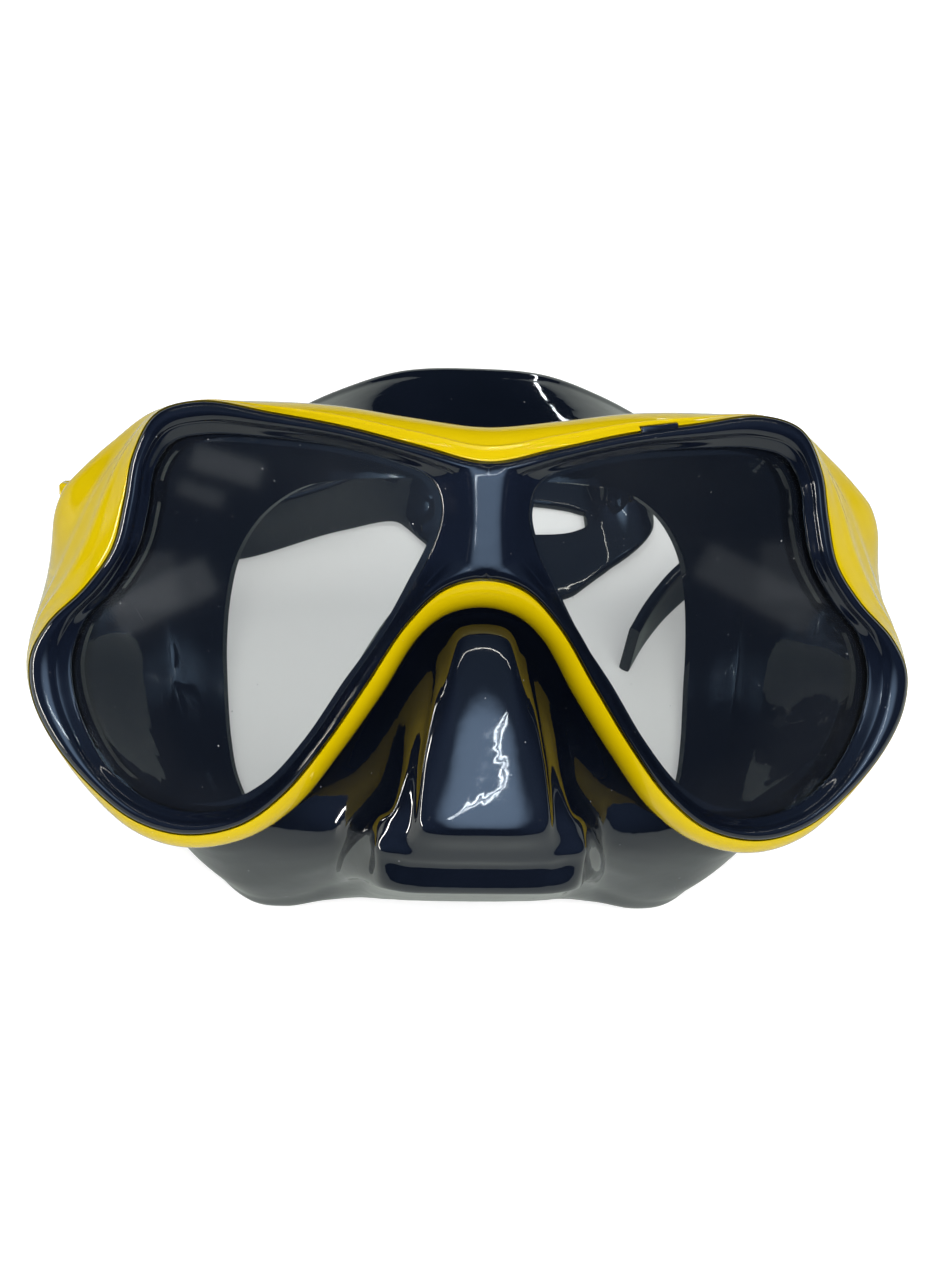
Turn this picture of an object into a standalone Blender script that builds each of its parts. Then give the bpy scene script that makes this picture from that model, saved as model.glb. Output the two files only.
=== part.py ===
"""Two-lens snorkel mask: frame, locking bezel, lenses, skirt, swivel buckles, strap.

All dimensions below are millimetres in the mask's own frame:
  X  across the face, Y  back towards the face, Z  up the face.
The mask lies on a table on its skirt, leaning back by LEAN degrees, and an
empty carries that placing, so every mask piece is drawn square to the face.
"""
import bpy
import bmesh
import math
import numpy as np
from mathutils import Matrix, Vector

MM = 0.001

# ------------------------------------------------------------- dimensions
LEAN = 55.0            # the empty's tilt about X, degrees
REST_Y = -39.45        # shift of the lying mask along the table
REST_Z = 68.42         # height of the mask frame's origin above the table
SWEEP = 13.0           # sweep-back angle of each lens, degrees
SWEEP_START = 8.0      # half width of the curved bridge between the lenses

LENS_FRONT = 3.5       # lens face behind the bezel's front edge
LENS_THICK = 3.5
FLANGE_FRONT = 5.3     # frame's inner flange, behind the bezel
FLANGE_BACK = 6.9
SEAT_FRONT = 7.2       # silicone lens seat
SKIRT_THICK = 1.8
FRAME_WALL = 2.2
GAP = 0.35             # clearance between neighbouring pieces

PIVOT = (72.6, 52.0, 20.0)   # right buckle's swivel axis, mask frame
BUCKLE_TILT = 10.0           # buckle's angle above the mask's Y axis
ROLLER_B = 18.0              # roller axis behind the swivel axis
ROLLER_R = 2.2
STRAP_T = 2.4
STRAP_W = 19.0
LUG_OUT = 7.2                # outer face of the frame's lug from the buckle's middle
TAB = (30.8, 46.0, 7.0, 2.2, 2.6)   # bezel's snap tab: x, z, width, depth, height

# Right half of the lens opening (x, z), round the lens from the bridge's top.
OPENING = [(9.5, 35.2), (16, 38.3), (27, 41.0), (38.5, 42.3), (49.5, 42.7),
           (55.5, 41.2), (58.7, 36.5), (59.8, 29.5), (61.6, 22.2), (66.0, 14.9),
           (71.2, 9.0), (73.5, 2.5), (73.2, -3.5), (70.8, -10.7), (65.9, -18.3),
           (59.0, -23.2), (51.3, -25.0), (43.5, -23.8), (36.8, -19.5),
           (30.0, -11.2), (23.2, -0.6), (17.0, 8.8), (12.5, 16.8),
           (9.0, 24.0), (7.7, 30.0)]
# Bezel's outer edge, one point for each point of the opening.
OUTLINE = [(0, 38.2), (12, 41.1), (25, 44.6), (38, 46.9), (50.5, 48.4),
           (58.3, 46.0), (62.3, 38.8), (63.9, 30.3), (66.0, 21.9), (71.0, 14.8),
           (77.6, 8.3), (80.8, 2.2), (80.4, -4.8), (76.8, -12.3), (70.0, -20.2),
           (61.5, -26.5), (52.3, -28.7), (42.3, -26.5), (34.5, -20.5),
           (27.2, -11.2), (20.3, -0.6), (13.5, 10.1), (7.0, 16.4),
           (0, 18.2)]
# Frame's rear edge (x, z) and its depth behind the bezel's front edge.
FRAME_BACK = [(0, 45.0, 9), (13, 46.2, 9), (26, 47.8, 9.5), (38.5, 48.7, 11),
              (50.5, 49.0, 14), (60.0, 46.8, 19), (67.5, 40.0, 24),
              (74.5, 33.0, 27), (79.4, 25.5, 30), (82.2, 17.5, 33),
              (84.0, 10.0, 34), (84.4, 3.0, 31), (83.0, -4.5, 25),
              (78.5, -13.0, 18), (71.5, -22.3, 12), (62.3, -29.8, 9),
              (52.3, -32.3, 8), (41.3, -30.0, 8), (32.3, -23.7, 8),
              (24.3, -13.3, 8), (17.3, -2.8, 8), (11.0, 7.6, 8),
              (6.0, 11.7, 8), (0, 13.0, 8)]


def sweep_depth(x):
    """Depth of the mask's front surface at x: flat lenses swept back from a curved bridge."""
    t = math.tan(math.radians(SWEEP))
    a = abs(x)
    if a > SWEEP_START:
        return t * (a - SWEEP_START / 2)
    return t * a * a / (2 * SWEEP_START)


# ------------------------------------------------------------- curves
def spline(points, per, closed=False, mirror=False):
    """Smooth curve through the points, `per` samples for each span."""
    p = np.array(points, float)
    n = len(p)
    flip = np.ones(p.shape[1])
    flip[0] = -1.0
    if closed:
        ext = np.vstack([p[-1:], p, p[:2]])
    elif mirror:
        ext = np.vstack([p[1:2] * flip, p, p[-2:-1] * flip])
    else:
        ext = np.vstack([2 * p[:1] - p[1:2], p, 2 * p[-1:] - p[-2:-1]])
    spans = n if closed else n - 1
    out = []
    for i in range(spans):
        a, b, c, d = ext[i], ext[i + 1], ext[i + 2], ext[i + 3]
        ta = max(np.linalg.norm(b - a), 1e-6) ** 0.5
        tb = max(np.linalg.norm(c - b), 1e-6) ** 0.5
        tc = max(np.linalg.norm(d - c), 1e-6) ** 0.5
        m1 = tb * ((b - a) / ta - (c - a) / (ta + tb) + (c - b) / tb)
        m2 = tb * ((c - b) / tb - (d - b) / (tb + tc) + (d - c) / tc)
        for k in range(per):
            s = k / per
            h0 = 2 * s ** 3 - 3 * s ** 2 + 1
            h1 = s ** 3 - 2 * s ** 2 + s
            h2 = -2 * s ** 3 + 3 * s ** 2
            h3 = s ** 3 - s ** 2
            out.append(h0 * b + h1 * m1 + h2 * c + h3 * m2)
    if not closed:
        out.append(p[-1])
    return np.array(out)


def lens_rows(per):
    """Matching rows round the right lens: opening, outline and frame's back.

    The outline runs from the top centre round to the nose arch's centre and
    closes up the centre line. `wall` counts the rows that are not on it.
    """
    inner = spline(OPENING, per, closed=True)
    outer = spline(OUTLINE, per, mirror=True)
    back = spline(FRAME_BACK, per, mirror=True)
    wall = len(outer)
    rest = len(inner) - wall
    z0, z1 = OUTLINE[-1][1], OUTLINE[0][1]
    line = [(0.0, z0 + (z1 - z0) * (k + 1) / (rest + 1)) for k in range(rest)]
    outer = np.vstack([outer, line])
    pad = np.array([(0.0, z, 8.0) for _, z in line])
    back = np.vstack([back, pad])
    return inner, outer, back, wall


# ------------------------------------------------------------- mesh helpers
def collection(name):
    c = bpy.data.collections.new(name)
    bpy.context.scene.collection.children.link(c)
    return c


def material(name, rgb, rough, metal=0.0, alpha=1.0):
    m = bpy.data.materials.new(name)
    m.use_nodes = True
    b = m.node_tree.nodes["Principled BSDF"]
    b.inputs["Base Color"].default_value = (*rgb, 1.0)
    b.inputs["Roughness"].default_value = rough
    b.inputs["Metallic"].default_value = metal
    b.inputs["Alpha"].default_value = alpha
    return m


def add_object(name, mesh, mat, parent=None):
    ob = bpy.data.objects.new(name, mesh)
    PARTS.objects.link(ob)
    mesh.materials.append(mat)
    if parent is not None:
        ob.parent = parent
    return ob


def empty(name, loc, rot_x=0.0):
    e = bpy.data.objects.new(name, None)
    e.empty_display_size = 0.01
    e.location = loc
    e.rotation_euler = (rot_x, 0.0, 0.0)
    PARTS.objects.link(e)
    return e


def mesh_from(name, verts, faces, smooth=35.0):
    me = bpy.data.meshes.new(name)
    me.from_pydata([tuple(c * MM for c in v) for v in verts], [], faces)
    me.validate()
    finish_mesh(me, smooth)
    return me


def finish_mesh(me, smooth=35.0):
    bm = bmesh.new()
    bm.from_mesh(me)
    bmesh.ops.recalc_face_normals(bm, faces=bm.faces)
    bm.to_mesh(me)
    bm.free()
    me.shade_smooth()
    me.set_sharp_from_angle(angle=math.radians(smooth))


def ring_mesh(name, sections, mirror=True):
    """Skin a closed row of closed sections; faces in the plane x = 0 are left open."""
    rows, cols = len(sections), len(sections[0])
    verts, faces = [], []
    for sec in sections:
        verts.extend(sec)
    for i in range(rows):
        j = (i + 1) % rows
        for k in range(cols):
            m = (k + 1) % cols
            quad = (i * cols + k, i * cols + m, j * cols + m, j * cols + k)
            if mirror and all(abs(verts[q][0]) < 1e-6 for q in quad):
                continue
            faces.append(quad)
    me = bpy.data.meshes.new(name)
    me.from_pydata([tuple(c * MM for c in v) for v in verts], [], faces)
    bm = bmesh.new()
    bm.from_mesh(me)
    bmesh.ops.delete(bm, geom=[v for v in bm.verts if not v.link_faces], context='VERTS')
    bmesh.ops.remove_doubles(bm, verts=bm.verts, dist=1e-6)
    bmesh.ops.dissolve_degenerate(bm, edges=bm.edges, dist=1e-7)
    bm.to_mesh(me)
    bm.free()
    return me


def mirrored(ob):
    m = ob.modifiers.new("mirror", 'MIRROR')
    m.use_axis = (True, False, False)
    m.use_clip = True
    m.merge_threshold = 0.00002
    return m


def freeze(ob):
    """Apply an object's modifiers to its mesh and turn its faces outwards."""
    dg = bpy.context.evaluated_depsgraph_get()
    dg.update()
    me = bpy.data.meshes.new_from_object(ob.evaluated_get(dg))
    old = ob.data
    ob.modifiers.clear()
    ob.data = me
    bpy.data.meshes.remove(old)
    bm = bmesh.new()
    bm.from_mesh(me)
    bmesh.ops.remove_doubles(bm, verts=bm.verts, dist=2e-6)
    bmesh.ops.recalc_face_normals(bm, faces=bm.faces)
    bm.to_mesh(me)
    bm.free()
    me.shade_smooth()
    me.set_sharp_from_angle(angle=math.radians(35))


def cut(ob, cutter, operation='DIFFERENCE'):
    m = ob.modifiers.new("cut", 'BOOLEAN')
    m.operation = operation
    m.solver = 'EXACT'
    m.object = cutter
    cutter.display_type = 'WIRE'
    cutter.hide_render = True
    return m


def cylinder(name, r, length, axis='Z', loc=(0, 0, 0), seg=24, parent=None, mat=None, cutter=False):
    bm = bmesh.new()
    bmesh.ops.create_cone(bm, cap_ends=True, segments=seg, radius1=r * MM, radius2=r * MM, depth=length * MM)
    turn = {'Z': Matrix(), 'X': Matrix.Rotation(math.pi / 2, 4, 'Y'), 'Y': Matrix.Rotation(math.pi / 2, 4, 'X')}[axis]
    bmesh.ops.transform(bm, matrix=Matrix.Translation(Vector(loc) * MM) @ turn, verts=bm.verts)
    me = bpy.data.meshes.new(name)
    bm.to_mesh(me)
    bm.free()
    me.shade_smooth()
    me.set_sharp_from_angle(angle=math.radians(35))
    return place(name, me, parent, mat, cutter)


def block(name, lo, hi, parent=None, mat=None, cutter=False, bevel=0.0):
    bm = bmesh.new()
    bmesh.ops.create_cube(bm, size=1.0)
    size = Vector(hi) - Vector(lo)
    mid = (Vector(hi) + Vector(lo)) / 2
    for v in bm.verts:
        v.co = Vector((v.co.x * size.x, v.co.y * size.y, v.co.z * size.z)) * MM + mid * MM
    if bevel:
        bmesh.ops.bevel(bm, geom=bm.edges[:], offset=bevel * MM, segments=2, affect='EDGES', profile=0.5)
    me = bpy.data.meshes.new(name)
    bm.to_mesh(me)
    bm.free()
    return place(name, me, parent, mat, cutter)


def place(name, me, parent, mat, cutter):
    ob = bpy.data.objects.new(name, me)
    (CUTTERS if cutter else PARTS).objects.link(ob)
    if parent is not None:
        ob.parent = parent
    if mat is not None:
        me.materials.append(mat)
    if cutter:
        ob.hide_render = True
        ob.display_type = 'WIRE'
    return ob


# ------------------------------------------------------------- mask pieces
def lens_edge(inner, outer):
    """The lens stands 1.5 mm under the bezel, or half its width where that is narrow."""
    d = outer - inner
    w = np.linalg.norm(d, axis=1, keepdims=True)
    return inner + d * np.minimum(0.5, 1.5 / w)


def at(p, g):
    return (float(p[0]), sweep_depth(p[0]) + g, float(p[1]))


def make_bezel(per):
    inner, outer, back, wall = lens_rows(per)
    edge = lens_edge(inner, outer)
    # (position from the opening to the outer edge, depth)
    profile = [(0.0, 3.1), (0.0, 1.7), (0.10, 1.1), (0.30, 1.0), (0.42, 0.1),
               (0.62, -0.6), (0.85, -0.5), (1.0, 0.5), (1.0, 5.0)]
    sections = []
    for i in range(len(inner)):
        a, b = inner[i], outer[i]
        sec = [at(a + (b - a) * s, g) for s, g in profile]
        e = edge[i] + (edge[i] - a) / max(np.linalg.norm(edge[i] - a), 1e-6) * GAP
        sec.append(at(e, 5.0))
        sec.append(at(e, 3.1))
        sections.append(sec)
    ob = add_object("bezel", ring_mesh("bezel", sections), BLACK, MASK)
    mirrored(ob)
    freeze(ob)
    for side in (-1, 1):
        cut(ob, tab_block("tab_tool", side, *TAB[2:]), 'UNION')
    freeze(ob)
    return ob


def bezier(a, c, b, n):
    """Points of a quadratic arc from a to b bulging towards c."""
    a, b, c = np.array(a), np.array(b), np.array(c)
    return [tuple((1 - t) ** 2 * a + 2 * t * (1 - t) * c + t * t * b) for t in np.linspace(0, 1, n)]


def make_frame(per, steps=5):
    inner, outer, back, wall = lens_rows(per)
    edge = lens_edge(inner, outer)
    nrm = outline_normals(outer, wall)
    sections = []
    for i in range(len(inner)):
        a, b, f = inner[i], outer[i], back[i]
        away = (edge[i] - a) / max(np.linalg.norm(edge[i] - a), 1e-6)
        rim = edge[i] + away * GAP
        on_line = i >= wall
        if on_line:
            o = np.array(at(b, 0.0))
            sec = [at(rim, FLANGE_FRONT), at(b, FLANGE_FRONT)]
            sec += [(0.0, sweep_depth(0) + FLANGE_FRONT, float(b[1]))] * (steps + 1)
            sec += [(0.0, sweep_depth(0) + FLANGE_BACK, float(b[1]))] * 2
            sec += [at(b, FLANGE_BACK), at(rim, FLANGE_BACK)]
        else:
            o = b + nrm[i] * GAP
            start = np.array(at(o, 1.0))
            end = np.array(at(f[:2], f[2]))
            mid = np.array(at(o + (f[:2] - o) * 0.95, 1.0 + (f[2] - 1.0) * 0.30))
            wallpts = bezier(start, mid, end, steps)
            inward = -nrm[i]
            flat = np.array([inward[0], 0.0, inward[1]])
            if i in (0, wall - 1):
                flat[0] = 0.0
            thick = min(FRAME_WALL, float(np.linalg.norm(f[:2] - b)) + 0.3)
            back_in = end + flat * thick
            front_in = np.array(at(b - nrm[i] * 0.2, FLANGE_BACK))
            corner = np.array(at(o, FLANGE_FRONT))
            sec = [at(rim, FLANGE_FRONT), at(o, FLANGE_FRONT)]
            sec += [tuple(w) for w in wallpts]
            sec += [tuple(back_in)]
            inner_mid = back_in + (front_in - back_in) * 0.5 + flat * (-0.3)
            sec += [tuple(inner_mid), tuple(front_in)]
            sec += [at(b - nrm[i] * 0.4, FLANGE_BACK), at(rim, FLANGE_BACK)]
        sections.append(sec)
    return sections


def outline_normals(outer, wall):
    """Outward normals of the outline's rows; rows on the centre line get none."""
    n = np.zeros_like(outer)
    for i in range(wall):
        a = outer[i - 1] if i > 0 else outer[1] * (-1, 1)
        b = outer[i + 1] if i < wall - 1 else outer[wall - 2] * (-1, 1)
        d = (b - a) if i > 0 else (outer[1] - outer[1] * (-1, 1))
        if i == wall - 1:
            d = outer[wall - 2] * (-1, 1) - outer[wall - 2]
        d = d / np.linalg.norm(d)
        n[i] = (-d[1], d[0])
    return n


def build_frame(per):
    ob = add_object("frame", ring_mesh("frame", make_frame(per)), YELLOW, MASK)
    mirrored(ob)
    freeze(ob)
    # lugs that carry the buckle pins, one inside each flare's rear end
    for side in (-1, 1):
        x0, x1 = PIVOT[0] + 3.7, PIVOT[0] + LUG_OUT
        cut(ob, cylinder("lug_tool", 7.6, x1 - x0, 'X', (side * (x0 + x1) / 2, PIVOT[1], PIVOT[2]), 28, MASK, YELLOW, True), 'UNION')
        a0, a1 = side * (x0 + 0.23), side * (x1 - 0.37)
        arm = block("arm_tool", (min(a0, a1), PIVOT[1] - 12, PIVOT[2] - 6.8),
                    (max(a0, a1), PIVOT[1] + 0.4, PIVOT[2] + 0.5), MASK, YELLOW, True)
        cut(ob, arm, 'UNION')
        cut(ob, cylinder("pin_well_tool", 4.2, 8.0, 'X', (side * (x1 + 4.0), PIVOT[1], PIVOT[2]), 24, MASK, None, True))
        cut(ob, cylinder("bore_tool", 2.3, 30, 'X', (side * (x0 + 3), PIVOT[1], PIVOT[2]), 20, MASK, None, True))
        # notch for the bezel's snap tab
        cut(ob, tab_block("notch_tool", side, TAB[2] + 2 * GAP, TAB[3] + 2 * GAP, TAB[4] + 2 * GAP))
    freeze(ob)
    return ob


def tab_block(name, side, width, depth, height):
    """A block square to the brow at the snap tab's place."""
    bm = bmesh.new()
    bmesh.ops.create_cube(bm, size=1.0)
    for v in bm.verts:
        v.co = Vector((v.co.x * width, v.co.y * depth, v.co.z * height)) * MM
    turn = Matrix.Rotation(math.radians(side * SWEEP), 4, 'Z') @ Matrix.Rotation(math.radians(-side * 8.0), 4, 'Y')
    centre = Vector((side * TAB[0], sweep_depth(TAB[0]) + 1.9, TAB[1])) * MM
    bmesh.ops.transform(bm, matrix=Matrix.Translation(centre) @ turn, verts=bm.verts)
    me = bpy.data.meshes.new(name)
    bm.to_mesh(me)
    bm.free()
    return place(name, me, MASK, None, True)


def make_lens(name, side, per):
    inner, outer, back, wall = lens_rows(per)
    edge = lens_edge(inner, outer)
    n = len(edge)
    verts, faces = [], []
    t = math.tan(math.radians(SWEEP))
    for g in (LENS_FRONT, LENS_FRONT + LENS_THICK):
        for p in edge:
            verts.append((side * p[0], t * (p[0] - SWEEP_START / 2) + g, p[1]))
    faces.append(tuple(range(n)))
    faces.append(tuple(range(2 * n - 1, n - 1, -1)))
    for i in range(n):
        j = (i + 1) % n
        faces.append((i, n + i, n + j, j))
    return add_object(name, mesh_from(name, verts, faces), GLASS, MASK)


# Skirt: crest of the face seal and edge of the face opening (x, y, z), one
# point for each point of the outline.
CREST = [(0, 44, 59), (14, 44.5, 58.2), (26, 47, 54.5), (37, 51, 49.5),
         (47, 57, 44.0), (55, 63.5, 37), (59.5, 69, 30), (61.8, 72.5, 23),
         (63, 75, 16), (63.3, 76.3, 8), (63, 76.6, 0), (62, 75.8, -8),
         (60, 71.4, -17), (57, 64.5, -26), (53, 58.3, -35), (48.5, 53, -43),
         (42, 49.7, -48.3), (35, 47.8, -49.0), (27.5, 46.8, -47.6),
         (20, 46.2, -46.4), (13.5, 46, -46.0), (8, 46, -45.8),
         (3.8, 46, -45.8), (0, 46, -45.8)]
MOUTH = [(0, 47, 37.5), (13, 47.5, 37.3), (24, 49, 36.8), (32, 52, 35.5),
         (39, 57, 31.5), (44, 62.5, 26), (47, 67, 20), (48.5, 70, 14),
         (49.3, 72, 8), (49.6, 73, 1), (49.4, 73, -5), (48.9, 71, -11),
         (48, 67.5, -17.5), (46, 62, -25), (42, 57, -31.5), (35.5, 53, -35.5),
         (28, 50.5, -37), (20.5, 49.3, -36.6), (15, 48.8, -36), (11, 48.5, -35.6),
         (8, 48.4, -35.4), (5, 48.4, -35.2), (2.4, 48.4, -35), (0, 48.4, -35)]
# Body of the skirt below the lenses and round the nose pocket, from behind
# the frame to the crest, for outline points 15 to 23.
NOSE = [[(60.2, 22.5, -26), (59.2, 26, -27.5), (57.8, 30.5, -30), (56, 35.5, -33), (53.8, 41, -36.8), (51.0, 47.3, -40.3)],
        [(51.3, 23, -30), (49.8, 26, -33), (48.2, 30, -36), (46.5, 34.5, -39.5), (44.8, 39, -43), (43, 44.3, -46)],
        [(41.2, 20.5, -28.5), (39.5, 22, -31.5), (38, 24.5, -34.5), (36.8, 28.5, -38), (36, 34, -42), (35.3, 41, -46)],
        [(31.6, 17.5, -23.8), (29.2, 17.5, -26.8), (27.2, 17.5, -29.8), (26.8, 20, -33.2), (27.0, 26, -37.5), (27.3, 36, -42.8)],
        [(23.6, 15.8, -13.9), (20.6, 12.5, -18.5), (18.8, 7.5, -23.0), (19.6, 3.5, -28.0), (21.0, 9, -32.5), (20.5, 26, -39.0)],
        [(16.6, 14.0, -3.2), (13.9, 7.5, -8.5), (13.9, -0.5, -16.5), (15.8, -4.2, -25.0), (18.2, -3.2, -30.3), (15.5, 18, -37.6)],
        [(10.3, 11.8, 6.2), (9.0, 4.0, 3.0), (10.4, -3.0, -6.0), (12.6, -7.8, -22.5), (13.4, -5.2, -31.2), (9.8, 17.5, -37.4)],
        [(5.0, 9.6, 10.4), (4.6, 2.2, 8.6), (5.6, -4.6, -2.0), (6.6, -9.0, -22.2), (6.8, -5.3, -31.4), (4.8, 17.5, -37)],
        [(0, 9.0, 11.3), (0, 1.6, 9.6), (0, -5.0, -1.0), (0, -9.4, -22), (0, -5.3, -31.5), (0, 17.5, -37)]]


def skirt_net():
    """Control rows of the skirt's wall, one for each outline point."""
    outer = np.array(OUTLINE, float)
    nrm = outline_normals(outer, len(outer))
    rows = []
    for k in range(len(OUTLINE)):
        b = outer[k] - nrm[k] * 0.9
        c0 = np.array(at(b, SEAT_FRONT))
        c1 = np.array(at(b, SEAT_FRONT + 3.6))
        crest = np.array(CREST[k], float)
        mouth = np.array(MOUTH[k], float)
        if k >= 15:
            mids = [np.array(p, float) for p in NOSE[k - 15]]
        else:
            length = np.linalg.norm(crest - c1)
            p1 = c1 + np.array((0.0, 0.30 * length, 0.0))
            into = crest - c1
            into = into / np.linalg.norm(into) * 0.5 + np.array((0, 0.5, 0))
            if k < 4:
                p1 = c1 + np.array((0.0, 0.20 * length, 0.0))
                into = np.array((0.0, 0.85, 0.35))
            p2 = crest - into * 0.35 * length
            mids = []
            for t in (0.15, 0.30, 0.45, 0.60, 0.75, 0.89):
                mids.append((1 - t) ** 3 * c1 + 3 * t * (1 - t) ** 2 * p1 + 3 * t * t * (1 - t) * p2 + t ** 3 * crest)
        fold = (crest + mouth) / 2 + np.array((0.0, 1.2, 0.0))
        rows.append([c0, c1] + mids + [crest, fold, mouth])
    return np.array(rows)


def make_skirt(per, across):
    inner, outer, back, wall = lens_rows(per)
    edge = lens_edge(inner, outer)
    net = skirt_net()
    cols = net.shape[1]
    # along the outline first, then from front to back
    lines = [spline(net[:, c], per, mirror=True) for c in range(cols)]
    nrm = outline_normals(outer, wall)
    verts, faces = [], []
    grid = []
    n = len(inner)
    for i in range(n):
        away = (edge[i] - inner[i]) / max(np.linalg.norm(edge[i] - inner[i]), 1e-6)
        lip = inner[i] - away * 1.0
        corner = outer[i] - nrm[i] * 0.9 if i < wall else outer[i]
        row = [at(lip, SEAT_FRONT), at(lip + (corner - lip) * 0.5, SEAT_FRONT), at(corner, SEAT_FRONT)]
        if i < wall:
            path = spline([lines[c][i] for c in range(cols)], across)
            row += [tuple(p) for p in path[1:]]
        ids = []
        for p in row:
            if i in (0, wall - 1) and len(ids) >= 2:
                p = (0.0, p[1], p[2])
            ids.append(len(verts))
            verts.append(p)
        grid.append(ids)
    for i in range(n):
        j = (i + 1) % n
        m = min(len(grid[i]), len(grid[j]))
        for k in range(m - 1):
            faces.append((grid[i][k], grid[j][k], grid[j][k + 1], grid[i][k + 1]))
    me = bpy.data.meshes.new("skirt")
    me.from_pydata([tuple(c * MM for c in v) for v in verts], [], faces)
    bm = bmesh.new()
    bm.from_mesh(me)
    bmesh.ops.remove_doubles(bm, verts=bm.verts, dist=1e-6)
    bm.to_mesh(me)
    bm.free()
    ob = add_object("skirt", me, SILICONE, MASK)
    mirrored(ob)
    s = ob.modifiers.new("thickness", 'SOLIDIFY')
    s.thickness = SKIRT_THICK * MM
    s.offset = -1.0
    s.use_even_offset = True
    s.use_rim = True
    return ob


# ------------------------------------------------------------- buckles
def bar_profile(name, outline, hole, depth, parent, mat, x0):
    """A flat piece in the buckle's own b-w plane, `depth` thick from x0 outwards."""
    cu = bpy.data.curves.new(name, 'CURVE')
    cu.dimensions = '2D'
    cu.fill_mode = 'BOTH'
    cu.extrude = depth / 2 * MM
    for loop in (outline, hole):
        if not loop:
            continue
        sp = cu.splines.new('POLY')
        sp.points.add(len(loop) - 1)
        for p, (b, w) in zip(sp.points, loop):
            p.co = (b * MM, w * MM, 0, 1)
        sp.use_cyclic_u = True
    tmp = bpy.data.objects.new(name + "_curve", cu)
    PARTS.objects.link(tmp)
    dg = bpy.context.evaluated_depsgraph_get()
    dg.update()
    me = bpy.data.meshes.new_from_object(tmp.evaluated_get(dg))
    bpy.data.objects.remove(tmp)
    bm = bmesh.new()
    bm.from_mesh(me)
    bmesh.ops.remove_doubles(bm, verts=bm.verts, dist=1e-6)
    turn = Matrix(((0, 0, 1, (x0 + depth / 2) * MM), (1, 0, 0, 0), (0, 1, 0, 0), (0, 0, 0, 1)))
    bmesh.ops.transform(bm, matrix=turn, verts=bm.verts)
    bmesh.ops.recalc_face_normals(bm, faces=bm.faces)
    bm.to_mesh(me)
    bm.free()
    ob = bpy.data.objects.new(name, me)
    PARTS.objects.link(ob)
    ob.parent = parent
    me.materials.append(mat)
    return ob


def rounded(points, r, steps=4):
    """Polygon with its corners rounded to radius r."""
    out = []
    n = len(points)
    for i in range(n):
        p, a, b = Vector(points[i]), Vector(points[i - 1]), Vector(points[(i + 1) % n])
        u, v = (a - p).normalized(), (b - p).normalized()
        half = math.acos(max(-1, min(1, u.dot(v)))) / 2
        rr = min(r, 0.45 * min((a - p).length, (b - p).length) * math.tan(half))
        reach = rr / math.tan(half)
        c = p + (u + v).normalized() * rr / math.sin(half)
        s, e = p + u * reach - c, p + v * reach - c
        a0 = math.atan2(s.y, s.x)
        a1 = math.atan2(e.y, e.x)
        while a1 - a0 > math.pi:
            a1 -= 2 * math.pi
        while a1 - a0 < -math.pi:
            a1 += 2 * math.pi
        for k in range(steps + 1):
            ang = a0 + (a1 - a0) * k / steps
            out.append((c.x + rr * math.cos(ang), c.y + rr * math.sin(ang)))
    return out


def flip_x(ob, side):
    """Left-hand pieces are the right-hand ones mirrored across the face."""
    if side < 0:
        bm = bmesh.new()
        bm.from_mesh(ob.data)
        for v in bm.verts:
            v.co.x = -v.co.x
        bmesh.ops.reverse_faces(bm, faces=bm.faces)
        bm.to_mesh(ob.data)
        bm.free()
        ob.data.shade_smooth()
        ob.data.set_sharp_from_angle(angle=math.radians(35))


LEVER_PIN = (7.9, 11.0)     # lever pin's axis: x, b from the swivel axis
RAIL = 13.8                 # half height of the buckle's body


def turned(name, profile, parent, mat, loc, seg=20):
    """A turned piece on the w axis: profile is (radius, w) from top to bottom."""
    me = bpy.data.meshes.new(name)
    pts = [(r * MM, 0.0, w * MM) for r, w in profile]
    me.from_pydata(pts, [(i, i + 1) for i in range(len(pts) - 1)], [])
    ob = bpy.data.objects.new(name, me)
    PARTS.objects.link(ob)
    me.materials.append(mat)
    m = ob.modifiers.new("turn", 'SCREW')
    m.axis = 'Z'
    m.steps = seg
    m.render_steps = seg
    m.use_merge_vertices = True
    m.merge_threshold = 0.00001
    freeze(ob)
    ob.parent = parent
    ob.location = Vector(loc) * MM
    return ob


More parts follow.
